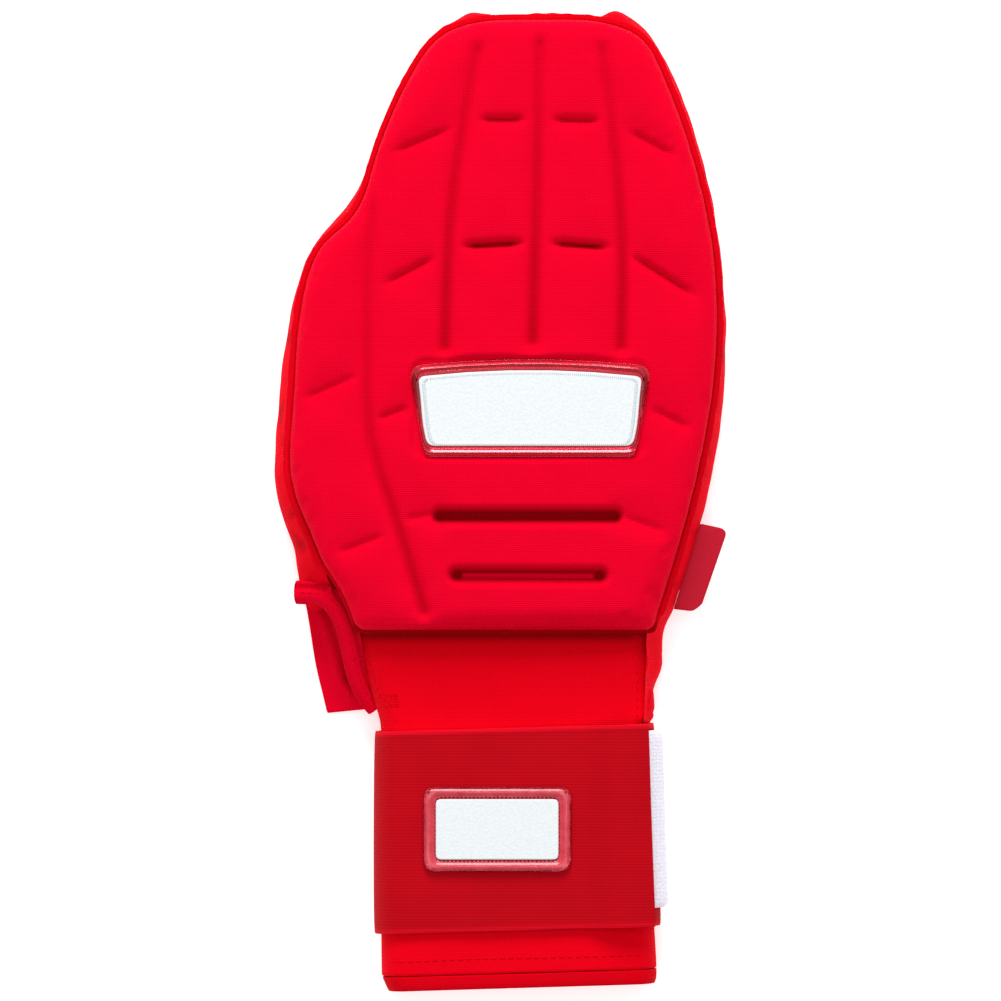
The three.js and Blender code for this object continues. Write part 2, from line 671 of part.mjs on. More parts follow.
// Thumb hem: a roll that closes the side wall's end, then runs down the flap beside the neck. The last column
// turns its flat side from the wall to the flap.
function thumbHem() {
  const end = wallStations[0];
  const y = end.y - hemWidth / 2 - 2 * gap;
  const outerX = end.x - end.bulge + hemRoll / 2;
  const level = (share) => palmThickness + share * pocketHeight;
  const onFlap = (down, inward) => {
    const middle = gussetPoint(down, inward);
    const across = gussetPoint(down, inward + 0.1).sub(middle);
    const square = v3(-across.z, 0, across.x).normalize();
    return { at: middle.addScaledVector(square, (hemRoll + gussetThickness) / 2 + 2 * gap), up: square };
  };
  const stops = [
    { at: v3(outerX, y, level(0.12)), up: v3(-1, 0, 0.1) },
    { at: v3(outerX + 0.05 * flapWidth, y, level(0.45)), up: v3(-1, 0, 0.3) },
    { at: v3(lerp(outerX, end.x, 0.3), y, level(0.7)), up: v3(-0.7, 0, 0.7) },
    { at: v3(lerp(outerX, end.x, 0.72), y - 0.1 * hemWidth, level(0.76)), up: v3(-0.2, 0, 1) },
    onFlap(0.14, 0.62),
    onFlap(0.36, 0.66),
    onFlap(0.62, 0.7),
    onFlap(0.9, 0.76),
  ];
  const line = new THREE.CatmullRomCurve3(stops.map(({ at }) => at), false, "centripetal");
  const ups = new THREE.CatmullRomCurve3(stops.map(({ up }) => up), false, "centripetal");
  const steps = 24;
  const sides = 8;
  const rings = [];
  for (let i = 0; i <= steps; i++) {
    const centre = line.getPoint(i / steps);
    const tangent = line.getTangent(i / steps);
    const up = ups.getPoint(i / steps);
    up.addScaledVector(tangent, -up.dot(tangent)).normalize();
    const across = v3().crossVectors(tangent, up);
    const width = hemWidth * lerp(1, 0.72, i / steps);
    rings.push(
      Array.from({ length: sides }, (_, k) => {
        const angle = (2 * Math.PI * k) / sides;
        const side = across.clone().multiplyScalar((Math.cos(angle) * width) / 2);
        return side.addScaledVector(up, (Math.sin(angle) * hemRoll) / 2).add(centre);
      }),
    );
  }
  return skin(rings, "fan");
}

// An outline through four corners, each rounded off. Its upper edge may arch.
const cornerSteps = 4;
const sideSteps = 5;
function rounded(corners, radius, arch) {
  const towards = (a, b) => a.clone().add(b.clone().sub(a).setLength(radius));
  const points = corners.flatMap((corner, i) => {
    const before = towards(corner, corners[(i + 3) % 4]);
    const after = towards(corner, corners[(i + 1) % 4]);
    const next = towards(corners[(i + 1) % 4], corner);
    const curve = new THREE.QuadraticBezierCurve(before, corner, after);
    const side = Array.from({ length: sideSteps - 1 }, (_, k) => after.clone().lerp(next, (k + 1) / sideSteps));
    return [...curve.getPoints(cornerSteps), ...side];
  });
  const [low, high] = [corners[0].y, corners[2].y];
  const half = Math.max(...corners.map((p) => Math.abs(p.x)));
  return points.map((p) => {
    const share = (p.y - low) / (high - low);
    return v2(p.x, p.y + arch * share * (1 - (p.x / half) ** 2));
  });
}

function badgeOutline(edge) {
  const [top, low] = [badgeTopWidth / 2 - edge, badgeLowWidth / 2 - edge];
  const half = badgeHeight / 2 - edge;
  const rise = half - badgeArch;
  return rounded([v2(-low, -half), v2(low, -half), v2(top, rise), v2(-top, rise)], badgeCorner - 0.6 * edge, badgeArch);
}

function patchOutline(edge) {
  const [x, y] = [patchWidth / 2 - edge, patchHeight / 2 - edge];
  return rounded([v2(-x, -y), v2(x, -y), v2(x, y), v2(-x, y)], patchCorner - 0.5 * edge, 0);
}

// Rings of a flat piece from its outline at several insets and heights.
function stacked(outlineAt, rows) {
  const rings = rows.map(({ edge, z }) => outlineAt(edge).map((p) => v3(p.x, p.y, z)));
  return skin(rings, "fan");
}

// A moulded tray with a rounded rim, which holds a flat face inside it.
function frame(outlineAt, rim, thickness) {
  const floor = thickness - fieldThickness - 2 * gap;
  return stacked(outlineAt, [
    { edge: 0, z: 0 },
    { edge: 0, z: 0.55 * thickness },
    { edge: 0.14 * rim, z: 0.86 * thickness },
    { edge: 0.42 * rim, z: thickness },
    { edge: 0.72 * rim, z: 0.93 * thickness },
    { edge: rim, z: floor },
  ]);
}

function field(outlineAt, rim, thickness) {
  const top = thickness - gap;
  return stacked(outlineAt, [
    { edge: rim + gap, z: top - fieldThickness },
    { edge: rim + gap, z: top - 0.25 * fieldThickness },
    { edge: rim + 2 * gap, z: top },
  ]);
}

// Where the badge and the patch sit.
const badgeX = 0.065 * padWidth;
const badgeY = hemY + 0.363 * padLength;
const badgeSeatZ = Math.min(
  ...badgeOutline(-gap).map((p) => padTop(badgeX + p.x, badgeY + p.y)),
) - gap;

// The hollow that the badge is set into.
function badgeSeat() {
  const above = badgeSeatZ + padThickness + crownAcross + crownAlong;
  const seat = stacked(badgeOutline, [
    { edge: -gap, z: badgeSeatZ },
    { edge: -gap, z: above },
  ]);
  return toSolid(seat.translate(badgeX, badgeY, 0));
}

const patchX = sleeveOffset - 0.065 * sleeveWidth;
const patchY = strapTopY - 0.5 * strapHeight;
const strapTopZ = cuffTop + gap + strapThickness;

function placed(mesh, x, y, z) {
  mesh.position.set(x, y, z);
  return mesh;
}

// The label stands out from the wall's widest line, square to it.
function sideTag() {
  const widest = seamStations.slice(seamStations.length / 2).map((spot) => {
    return v3(spot.x, spot.y, 0).addScaledVector(spot.out, wallReach(spot));
  });
  const nearest = (y) => widest.find((p) => p.y < y);
  const [upper, lower] = [tagHeight + tagLength / 2, tagHeight - tagLength / 2].map((height) => nearest(hemY + height));
  const along = lower.clone().sub(upper).normalize();
  const out = v3(-along.y, along.x, 0);
  const foot = Math.max(...widest.slice(widest.indexOf(upper), widest.indexOf(lower) + 1).map((p) => p.dot(out)));
  const middle = upper.clone().add(lower).divideScalar(2);
  middle.addScaledVector(out, foot + gap - middle.dot(out));
  const { low, high } = wallLevels(middle.y);
  const half = tagLength / 2;
  const shape = new THREE.Shape();
  shape.moveTo(-half, 0);
  shape.lineTo(-half, tagReach - tagCorner);
  shape.quadraticCurveTo(-half, tagReach, -half + tagCorner, tagReach);
  shape.lineTo(half - tagCorner, tagReach);
  shape.quadraticCurveTo(half, tagReach, half, tagReach - tagCorner);
  shape.lineTo(half, 0);
  const geometry = new THREE.ExtrudeGeometry(shape, { depth: tagThickness, bevelEnabled: false, curveSegments: 5 });
  const mesh = piece("side_tag", geometry, finishes.label);
  mesh.position.set(middle.x, middle.y, lerp(low, high, 0.45) - tagThickness / 2);
  mesh.rotation.z = Math.atan2(along.y, along.x);
  return mesh;
}

const finishes = {
  foamCover: new THREE.MeshStandardMaterial({ color: 0xf2001f, roughness: 0.75 }),
  stretchCloth: new THREE.MeshStandardMaterial({ color: 0xec0a1c, roughness: 0.85 }),
  elastic: new THREE.MeshStandardMaterial({ color: 0xc4000f, roughness: 0.9 }),
  hookTape: new THREE.MeshStandardMaterial({ color: 0xe6e6f2, roughness: 0.7 }),
  glossRubber: new THREE.MeshStandardMaterial({ color: 0xc01030, roughness: 0.2, metalness: 0.3 }),
  whiteRubber: new THREE.MeshStandardMaterial({ color: 0xecf2f4, roughness: 0.6 }),
  label: new THREE.MeshStandardMaterial({ color: 0xbf1230, roughness: 0.8 }),
};

const mitt = new THREE.Group();
mitt.add(
  piece("back_pad", backPad(), finishes.foamCover),
  piece("side_wall", sideWall(), finishes.stretchCloth),
  piece("palm_pad", palmPad(), finishes.foamCover),
  piece("thumb_gusset", thumbGusset(), finishes.stretchCloth),
  piece("thumb_hem", thumbHem(), finishes.stretchCloth),
  piece("sleeve", sleeve(), finishes.stretchCloth),
  piece("sleeve_hem", sleeveHem(), finishes.stretchCloth),
  piece("wrist_strap", wristStrap(), finishes.elastic),
  piece("hook_tab", hookTab(), finishes.hookTape),
  placed(piece("badge_frame", frame(badgeOutline, badgeRim, badgeThickness), finishes.glossRubber), badgeX, badgeY, badgeSeatZ + gap),
  placed(piece("badge_field", field(badgeOutline, badgeRim, badgeThickness), finishes.whiteRubber), badgeX, badgeY, badgeSeatZ + gap),
  placed(piece("patch_frame", frame(patchOutline, patchRim, patchThickness), finishes.glossRubber), patchX, patchY, strapTopZ + gap),
  placed(piece("patch_field", field(patchOutline, patchRim, patchThickness), finishes.whiteRubber), patchX, patchY, strapTopZ + gap),
  sideTag(),
);

export default mitt;
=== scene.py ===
# %% [markdown]
# # Sliding mitt
# A sliding mitt is a padded glove without fingers that a runner wears to slide into a base. A stiff moulded
# foam pad covers the back of the hand, a thinner pad lies under the palm, a knitted wall joins the two, and a
# knitted sleeve with a wide elastic strap holds it all on the wrist. This notebook loads the solid model of the
# mitt as a fixed frame, and rebuilds every part of it as cloth, foam, thread and moulded rubber.

import math

import bmesh
import bpy
import numpy as np
from mathutils import Matrix, Vector, noise
from mathutils.bvhtree import BVHTree


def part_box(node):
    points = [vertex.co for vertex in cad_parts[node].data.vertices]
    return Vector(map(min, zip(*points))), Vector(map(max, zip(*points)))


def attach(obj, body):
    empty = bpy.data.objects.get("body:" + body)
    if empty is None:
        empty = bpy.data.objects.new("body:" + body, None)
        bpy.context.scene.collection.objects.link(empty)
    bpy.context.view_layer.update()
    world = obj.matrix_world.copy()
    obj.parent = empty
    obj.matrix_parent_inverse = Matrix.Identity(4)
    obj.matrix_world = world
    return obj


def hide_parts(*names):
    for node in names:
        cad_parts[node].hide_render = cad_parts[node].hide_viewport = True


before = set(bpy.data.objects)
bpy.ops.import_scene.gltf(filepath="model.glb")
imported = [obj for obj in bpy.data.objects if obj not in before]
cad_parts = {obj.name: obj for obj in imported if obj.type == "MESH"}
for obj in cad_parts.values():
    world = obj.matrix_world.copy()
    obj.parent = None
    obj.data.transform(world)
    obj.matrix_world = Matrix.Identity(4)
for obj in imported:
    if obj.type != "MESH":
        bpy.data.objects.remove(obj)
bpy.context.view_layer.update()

# %% [markdown]
# ## Working in millimetres
# Blender keeps metres, but a glove maker thinks in millimetres. The rules that shape cloth below get every
# point of a mesh as three lists of millimetres, and give back the moved lists. That keeps each rule as short as
# the sentence that describes it.

# %% Helpers that carry meshes about
MM = 0.001
MERGE_WITHIN = 0.01 * MM
NEARLY_FLAT = 0.6
NEARLY_SQUARE = 1.2
SHARP_ANGLE = 0.8


def new_object(name, bm):
    """Puts a bmesh into the scene as a smooth-shaded object at the origin."""
    mesh = bpy.data.meshes.new(name)
    bm.to_mesh(mesh)
    bm.free()
    mesh.shade_smooth()
    made = bpy.data.objects.new(name, mesh)
    bpy.context.scene.collection.objects.link(made)
    return made


def copy_of(node, crease=0.0):
    """The solid model's mesh is loose triangles, so a copy is merged and its pairs are joined into quads.
    Its sharp edges are creased by that share, which keeps subdivision from eating the ends of thin cloth."""
    bm = bmesh.new()
    bm.from_mesh(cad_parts[node].data)
    bmesh.ops.remove_doubles(bm, verts=bm.verts, dist=MERGE_WITHIN)
    bmesh.ops.join_triangles(
        bm, faces=bm.faces, angle_face_threshold=NEARLY_FLAT, angle_shape_threshold=NEARLY_SQUARE
    )
    creases = bm.edges.layers.float.new("crease_edge")
    for edge in bm.edges:
        if edge.is_manifold and edge.calc_face_angle() > SHARP_ANGLE:
            edge[creases] = crease
    return bm


def applied(piece):
    """Bakes a piece's modifiers into its mesh."""
    view = piece.evaluated_get(bpy.context.evaluated_depsgraph_get())
    finished = bpy.data.meshes.new_from_object(view)
    piece.modifiers.clear()
    piece.data = finished
    piece.data.shade_smooth()
    return piece


def remeshed(piece, voxel):
    """Gives a piece even quads about voxel millimetres wide."""
    remesh = piece.modifiers.new("even quads", "REMESH")
    remesh.mode = "VOXEL"
    remesh.voxel_size = voxel * MM
    remesh.use_smooth_shade = True
    return applied(piece)


def refined(piece, levels):
    """Rounds a piece by subdivision and bakes it, so that folds can be pressed into the finer mesh."""
    rounding = piece.modifiers.new("rounding", "SUBSURF")
    rounding.levels = rounding.render_levels = levels
    return applied(piece)


def points_of(piece):
    """Every point of a piece, and its normal, as two tables of millimetres."""
    count = len(piece.data.vertices)
    places = np.empty(count * 3, np.float32)
    normals = np.empty(count * 3, np.float32)
    piece.data.vertices.foreach_get("co", places)
    piece.data.vertices.foreach_get("normal", normals)
    return places.reshape(-1, 3).astype(float) / MM, normals.reshape(-1, 3).astype(float)


def set_points(piece, places):
    piece.data.vertices.foreach_set("co", (places * MM).astype(np.float32).ravel())
    piece.data.update()


def smooth_step(low, high, value):
    share = np.clip((value - low) / (high - low), 0, 1)
    return share * share * (3 - 2 * share)


def bell(away, half):
    """A bell curve: 1 in its middle, about a third at half, and next to nothing at twice half."""
    return np.exp(-((away / half) ** 2))


def ripple(places, size, seed):
    """Smooth noise from -1 to 1 with features about size millimetres wide."""
    return np.array([noise.noise(Vector(place) / size + Vector((seed, 0, 0))) for place in places])


def mark(piece, name, share):
    """Notes a share from 0 to 1 on every point for its material, such as how much painted shade a crease gets.
    """
    note = piece.data.attributes.new(name, "FLOAT", "POINT")
    note.data.foreach_set("value", np.clip(share, 0, 1).astype(np.float32))


def surface_of(piece):
    """A piece's faces as a tree that can be searched for its nearest spot or for what a ray hits."""
    faces = [face.vertices[:] for face in piece.data.polygons]
    return BVHTree.FromPolygons([vert.co[:] for vert in piece.data.vertices], faces)


def report(piece):
    """Prints a piece's triangles, its extent, and half its surface, which is the area of a thin cloth."""
    places = points_of(piece)[0]
    low, high = places.min(0), places.max(0)
    faces = sum(len(face.vertices) - 2 for face in piece.data.polygons)
    one_side = sum(face.area for face in piece.data.polygons) / 2
    span = f"from {low.round(1)} to {high.round(1)} mm"
    print(piece.name, faces, "triangles", span, "one side", round(one_side, 5), "m2")


# %% [markdown]
# ## Bands and cords along a line
# Hems, seam cords and folded edges are all a simple cross-section carried along a line. The band starts as a
# capped cylinder that is cut into rings, and every ring is then carried to its place on the line, flattened to
# the wanted width and height, and drawn in at the two ends so that they close softly.


# %% Carry a band along a line
STRIDE = 0.01
NEARLY_SHUT = 0.02


def at_share(line, share):
    """Points at shares from 0 to 1 of the way along a line of any number of coordinates."""
    line = np.array(line, float)
    run = np.concatenate(([0], np.cumsum(np.linalg.norm(np.diff(line, axis=0), axis=1))))
    return np.column_stack([np.interp(np.asarray(share) * run[-1], run, column) for column in line.T])


def band_along(name, line, width, height, rings, around=16, blunt=24):
    """A band of that width and height in millimetres along a line of (x, y, z) points."""
    bm = bmesh.new()
    bmesh.ops.create_cone(bm, cap_ends=True, segments=around, radius1=1, radius2=1, depth=1)
    sides = [edge for edge in bm.edges if abs(edge.verts[0].co.z - edge.verts[1].co.z) > 0.5]
    bmesh.ops.subdivide_edges(bm, edges=sides, cuts=rings, use_grid_fill=True)
    spots = np.array([vert.co[:] for vert in bm.verts])
    share = spots[:, 2] + 0.5
    middle = at_share(line, share)
    forward = at_share(line, np.minimum(share + STRIDE, 1)) - at_share(line, np.maximum(share - STRIDE, 0))
    forward /= np.linalg.norm(forward, axis=1, keepdims=True)
    across = np.cross(forward, (0, 0, 1))
    across /= np.linalg.norm(across, axis=1, keepdims=True)
    upward = np.cross(across, forward)
    closing = np.sqrt(np.clip(1 - np.abs(2 * share - 1) ** blunt, NEARLY_SHUT, 1))
    placed = middle + across * (spots[:, :1] * width / 2 * closing[:, None])
    placed += upward * (spots[:, 1:2] * height / 2 * closing[:, None])
    for vert, place in zip(bm.verts, placed):
        vert.co = Vector(place) * MM
    bmesh.ops.recalc_face_normals(bm, faces=bm.faces[:])
    return new_object(name, bm)


# %% [markdown]
# ## Lines on the pad
# The moulded channels of the pad were measured as shares of the pad: how far up the pad a point is, and how
# far across from its middle line. A channel is a row of such points, its corners cut twice so that it runs in
# a soft curve.

# %% Where lines lie on the pad
PAD_LENGTH = 193
PAD_WIDTH = 140.7
HEM_Y = -41.5


def on_pad(points):
    """Turns shares up and across the pad into millimetres."""
    return [(across * PAD_WIDTH / 2, HEM_Y + up * PAD_LENGTH) for up, across in points]


def softened(points):
    """Cuts the corners of a line twice."""
    line = [np.array(point, float) for point in points]
    for _ in range(2 if len(line) > 2 else 0):
        cut = [line[0]]
        for a, b in zip(line[:-1], line[1:]):
            cut += [0.75 * a + 0.25 * b, 0.25 * a + 0.75 * b]
        line = cut + [line[-1]]
    return line


def along(line, x, y):
    """How far each point is from a line, and what share of the line it is level with."""
    lengths = [math.dist(a, b) for a, b in zip(line[:-1], line[1:])]
    nearest = np.full(len(x), 1e6)
    share = np.zeros(len(x))
    run = 0
    for a, b, length in zip(line[:-1], line[1:], lengths):
        step = (np.array(b) - np.array(a)) / length
        t = np.clip((x - a[0]) * step[0] + (y - a[1]) * step[1], 0, length)
        away = np.hypot(x - a[0] - t * step[0], y - a[1] - t * step[1])
        near = away < nearest
        nearest = np.where(near, away, nearest)
        share = np.where(near, (run + t) / sum(lengths), share)
        run += length
    return nearest, share


# Each channel: half its width, its depth at its two ends, in millimetres, then its points from the top down.
CHANNELS = [
    (1.9, 1.5, 2.9, [(0.967, 0.174), (0.776, 0.166), (0.468, 0.143)]),
    (1.9, 1.4, 2.9, [(0.957, -0.088), (0.812, -0.166), (0.656, -0.227), (0.46, -0.245)]),
    (1.9, 1.4, 2.9, [(0.957, 0.437), (0.825, 0.492), (0.616, 0.545), (0.46, 0.532)]),
    (
        2.0,
        1.1,
        2.6,
        [(0.71, -0.562), (0.535, -0.589), (0.342, -0.589), (0.262, -0.541), (0.184, -0.461), (0.036, -0.338)],
    ),
]
# The short cross channels are narrower and sharper: their depth, then their two ends.
CROSSES = [
    (2.2, [(0.825, -0.105), (0.825, 0.125)]),
    (2.2, [(0.825, 0.21), (0.823, 0.455)]),
    (1.5, [(0.768, -0.5), (0.815, -0.195)]),
    (1.5, [(0.81, 0.55), (0.763, 0.785)]),
    (3.2, [(0.622, -0.19), (0.628, 0.123)]),
    (3.2, [(0.628, 0.204), (0.62, 0.498)]),
    (1.7, [(0.558, -0.53), (0.607, -0.274)]),
    (1.9, [(0.613, 0.55), (0.536, 0.885)]),
    (1.1, [(0.374, -0.888), (0.419, -0.609)]),
    (1.1, [(0.128, -0.737), (0.162, -0.494)]),
    (1.3, [(0.343, -0.556), (0.366, -0.395)]),
    (1.3, [(0.364, 0.654), (0.329, 0.843)]),
    (0.9, [(0.183, -0.435), (0.194, -0.28)]),
    (0.9, [(0.192, 0.515), (0.163, 0.739)]),
]
SLOTS = [[(0.19, -0.265), (0.19, 0.5)], [(0.0955, -0.19), (0.0945, 0.435)]]
print(len(CHANNELS), "long channels,", len(CROSSES), "short ones and", len(SLOTS), "slots")

# %% [markdown]
# ## The pad over the back of the hand
# The real pad is a sheet of foam pressed in a heated mould with its knitted cover on, so its channels are
# soft valleys and the islands between them are slightly puffed. Its outline is taken from the solid model by
# cutting a copy at one level, filled, and extruded to the pad's thickness. A cloth simulation with air pressure
# then swells the islands while the channels are held down, and only after that are the channels pressed in,
# because the even quads that the simulation needs would swallow them.

# %% Cut the outline and give it its thickness
pad_low, pad_high = (Vector(corner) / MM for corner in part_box("back_pad"))
PAD_BASE = pad_low.z
PAD_EDGE = 8.0
CUT_ABOVE = 1
EDGE_ROUNDING = 3.2


def outline_of(node, level):
    """A filled face with the outline that a node has at a level, in millimetres."""
    bm = copy_of(node)
    bmesh.ops.bisect_plane(
        bm,
        geom=bm.verts[:] + bm.edges[:] + bm.faces[:],
        dist=0.001 * MM,
        plane_co=(0, 0, level * MM),
        plane_no=(0, 0, 1),
        clear_inner=True,
        clear_outer=True,
    )
    bmesh.ops.contextual_create(bm, geom=bm.edges[:])
    return bm


def raised(bm, height):
    """Extrudes a bmesh's faces upwards, and returns the faces of the new top."""
    grown = bmesh.ops.extrude_face_region(bm, geom=bm.faces[:])["geom"]
    top = [part for part in grown if isinstance(part, bmesh.types.BMVert)]
    bmesh.ops.translate(bm, verts=top, vec=(0, 0, height * MM))
    bmesh.ops.recalc_face_normals(bm, faces=bm.faces[:])
    return [part for part in grown if isinstance(part, bmesh.types.BMFace)]


pad = outline_of("back_pad", PAD_BASE + CUT_ABOVE)
bmesh.ops.translate(pad, verts=pad.verts[:], vec=(0, 0, -CUT_ABOVE * MM))
outline = [(vert.co.x / MM, vert.co.y / MM) for vert in pad.faces[:][0].verts]
crown = raised(pad, PAD_EDGE)
bmesh.ops.bevel(
    pad,
    geom=[edge for face in crown for edge in face.edges],
    offset=EDGE_ROUNDING * MM,
    offset_type="OFFSET",
    affect="EDGES",
    segments=5,
    profile=0.5,
    material=-1,
)
padded_back = new_object("padded_back", pad)
report(padded_back)

# %% [markdown]
# ## Air pressure for padded fabric
# Cloth under air pressure swells as upholstery does: most in the middle of a panel, least at its seams. The
# simulation works best on something the size of a cushion, so the piece is made ten times larger for it. No
# point may end further away than a cap, which keeps the piece in the space that the solid model holds for it.

# %% Swell a padded piece
SIM_SCALE = 10
SIM_FRAMES = 20


def swollen(piece, held, cap, pressure):
    """Blows a piece up with cloth simulation. held says how firmly each point is pinned, from 0 to 1."""
    before, _ = points_of(piece)
    pins = piece.vertex_groups.new(name="held")
    for index, weight in enumerate(held):
        pins.add([index], float(weight), "REPLACE")
    set_points(piece, before * SIM_SCALE)
    cloth = piece.modifiers.new("cloth", "CLOTH")
    cloth.settings.quality = 5
    cloth.settings.tension_stiffness = 12
    cloth.settings.bending_stiffness = 0.4
    cloth.settings.use_pressure = True
    cloth.settings.uniform_pressure_force = pressure
    cloth.settings.effector_weights.gravity = 0
    cloth.settings.vertex_group_mass = "held"
    cloth.collision_settings.use_collision = False
    scene = bpy.context.scene
    for step in range(1, SIM_FRAMES + 1):
        scene.frame_set(step)
    applied(piece)
    scene.frame_set(1)
    piece.vertex_groups.clear()
    after = points_of(piece)[0] / SIM_SCALE
    shift = after - before
    reach = np.linalg.norm(shift, axis=1, keepdims=True)
    shift *= np.minimum(1, cap / np.maximum(reach, 1e-9))
    set_points(piece, before + shift)
    print(piece.name, "swelled by up to", round(float(np.linalg.norm(shift, axis=1).max()), 2), "mm")
    return piece


# %% Puff the pad between its channels
remeshed(padded_back, voxel=2.5)
places, _ = points_of(padded_back)
hold = smooth_step(PAD_BASE + 5, PAD_BASE + 2, places[:, 2])
held_lines = [softened(on_pad(points)) for *_, points in CHANNELS] + [on_pad(points) for _, points in CROSSES]
for line in held_lines:
    away, _ = along(line, places[:, 0], places[:, 1])
    hold = np.maximum(hold, smooth_step(4, 2, away))
swollen(padded_back, hold, cap=1.2, pressure=4)
remeshed(padded_back, voxel=0.8)
report(padded_back)

# %% [markdown]
# ## Press in the channels
# Every valley lowers the top of the pad by its depth times a bell curve of the distance from its middle line,
# with a narrower crease at its very bottom, which is where the cover is drawn down hardest. The points near the
# pad's base stay where they are. A small ridge stands in the lower slot, and the pad's lower corners droop.

# %% Crown and channels
SPINE_LEAN = (0.01, 0.1)
CROWN_ACROSS = 3.0
CROWN_ALONG = 1.5
CROSS_HALF = 1.35
CROSS_GAIN = 1.25
SLOT_DEPTH = 4.6
SLOT_HALF = 3.7
SLOT_FLOOR = 0.3
RIDGE = [(0.0955, -0.16), (0.0945, 0.405)]
RIDGE_HALF = 0.75
RIDGE_HEIGHT = 2.3
RIDGE_LIGHTENS = 3.3
LOWER_CORNERS = [(-46, -39), (49, -40)]
CORNER_DROP = 1.7
CORNER_REACH = 11


def pad_crown(x, y):
    """How far the pad's top stands above its flat thickness, because a hand's back is arched."""
    up = (y - HEM_Y) / PAD_LENGTH
    spine = PAD_WIDTH / 2 * (SPINE_LEAN[0] + (SPINE_LEAN[1] - SPINE_LEAN[0]) * up)
    u = np.clip((x - spine) / (0.5 * PAD_WIDTH), -1, 1)
    v = np.clip(2 * up - 1, -1, 1)
    return CROWN_ACROSS * (1 - u * u) + CROWN_ALONG * (1 - v * v)


def valley(away, half, depth):
    """The depth at each point of a channel that has a narrower crease at its bottom."""
    return depth * (0.72 * bell(away, half) + 0.28 * bell(away, 0.35 * half))


def pressed_and_shaded(x, y):
    """How deep the channels and slots are at each point; the depth also sets their painted shade."""
    deep = np.zeros(len(x))
    for half, start, end, points in CHANNELS:
        away, share = along(softened(on_pad(points)), x, y)
        strength = start + (end - start) * share
        deep = np.maximum(deep, valley(away, half, strength * smooth_step(0, 0.05, share)))
    for depth, points in CROSSES:
        away, share = along(on_pad(points), x, y)
        ends = smooth_step(0, 0.28, share) * smooth_step(1, 0.72, share)
        deep = np.maximum(deep, valley(away, CROSS_HALF, CROSS_GAIN * depth * ends))
    for line in SLOTS:
        away, _ = along(on_pad(line), x, y)
        deep = np.maximum(deep, SLOT_DEPTH * smooth_step(SLOT_HALF, SLOT_FLOOR, away))
    return deep


places, _ = points_of(padded_back)
x, y, z = places.T
lift = smooth_step(PAD_BASE + 1.5, PAD_BASE + PAD_EDGE - 1, z)
depth = pressed_and_shaded(x, y)
z += lift * (pad_crown(x, y) - depth)
from_ridge, _ = along(on_pad(RIDGE), x, y)
ridge_share = bell(from_ridge, RIDGE_HALF)
z += lift * RIDGE_HEIGHT * ridge_share
# The ridge in the lower slot is left out of the painted shade, so that it shows as a lit line.
depth = np.maximum(depth - lift * RIDGE_LIGHTENS * ridge_share, 0)
for corner_x, corner_y in LOWER_CORNERS:
    z -= lift * CORNER_DROP * bell(np.hypot(x - corner_x, y - corner_y), CORNER_REACH)

# %% [markdown]
# ## The seat of the badge
# The badge is moulded onto the pad, so the foam under it is pressed flat. Inside the badge's outline the top of
# the pad is brought down to just under the rim, and the foam around it slopes up over a few millimetres.

# %% Press the badge's seat, and note how deep the foam is pressed for the painted shade of the channels
SEAT_INSET = 4.5
SEAT_SINK = 0.25
SEAT_SLOPE = 3.2
rim_low, rim_high = (Vector(corner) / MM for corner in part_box("badge_frame"))
seat_middle = (rim_low + rim_high) / 2
seat_half = (rim_high - rim_low) / 2
beyond_x = np.abs(x - seat_middle.x) - (seat_half.x - SEAT_INSET)
beyond_y = np.abs(y - seat_middle.y) - (seat_half.y - SEAT_INSET)
outside = np.hypot(np.maximum(beyond_x, 0), np.maximum(beyond_y, 0))
from_seat = outside + np.minimum(np.maximum(beyond_x, beyond_y), 0)
seat_level = rim_low.z + SEAT_SINK + SEAT_SLOPE * smooth_step(4.3, 8.5, from_seat)
z = np.where((lift > 0.5) & (z > seat_level), seat_level, z)
set_points(padded_back, np.column_stack((x, y, z)))

# The channels are painted darker by their depth: partly the denser pressed cover, partly painted shade in the
# valleys.
mark(padded_back, "pressed_and_shaded", 1.25 * (depth / SLOT_DEPTH) ** 1.3 * lift)
report(padded_back)

# %% [markdown]
# ## The palm pad
# The pad under the palm is thinner and plain. It is the piece that lies on the table, so it swells as a cushion
# does everywhere but underneath, where it stays flat.

# %% The palm pad
palm_cushion = remeshed(new_object("palm_cushion", copy_of("palm_pad")), voxel=2.2)
places, _ = points_of(palm_cushion)
swollen(palm_cushion, smooth_step(2.4, 1.2, places[:, 2]), cap=0.8, pressure=3)
places, _ = points_of(palm_cushion)
places[:, 2] = np.maximum(places[:, 2], 0)
set_points(palm_cushion, places)
refined(palm_cushion, 1)
report(palm_cushion)

# %% [markdown]
# ## The knitted wall
# A strip of stretch knit is gathered between the two pads. Its shape comes from the solid model, rounded by
# subdivision, and the gathers are pressed in along its normals: narrow ones that start at the seam and fade
# down the wall, and wider soft ones that belong to the way the strip hangs.

# %% The wall and its gathers
WALL_TOP = 22.7
gathered_wall = refined(new_object("gathered_wall", copy_of("side_wall", crease=1)), levels=2)
places, normals = points_of(gathered_wall)
x, y, z = places.T
around = np.column_stack((x, y, z * 0.2))
gather = ripple(around, size=3.2, seed=11) * smooth_step(9, 21, z) * 0.4
gather += ripple(around, size=9, seed=5) * 0.4
gather *= smooth_step(0.3, 3, z) * smooth_step(WALL_TOP, 21.5, z)
x += normals[:, 0] * gather
y += normals[:, 1] * gather

# %% [markdown]
# Beside the neck the wall isn't upright: it leans over and is sewn to the top of the neck. Its points are
# leant inwards by how high they stand, until its upper edge lies on the neck's seam line. Both ends of the wall
# are then drawn down a little, and the one at the thumb is lowered to meet the hem.

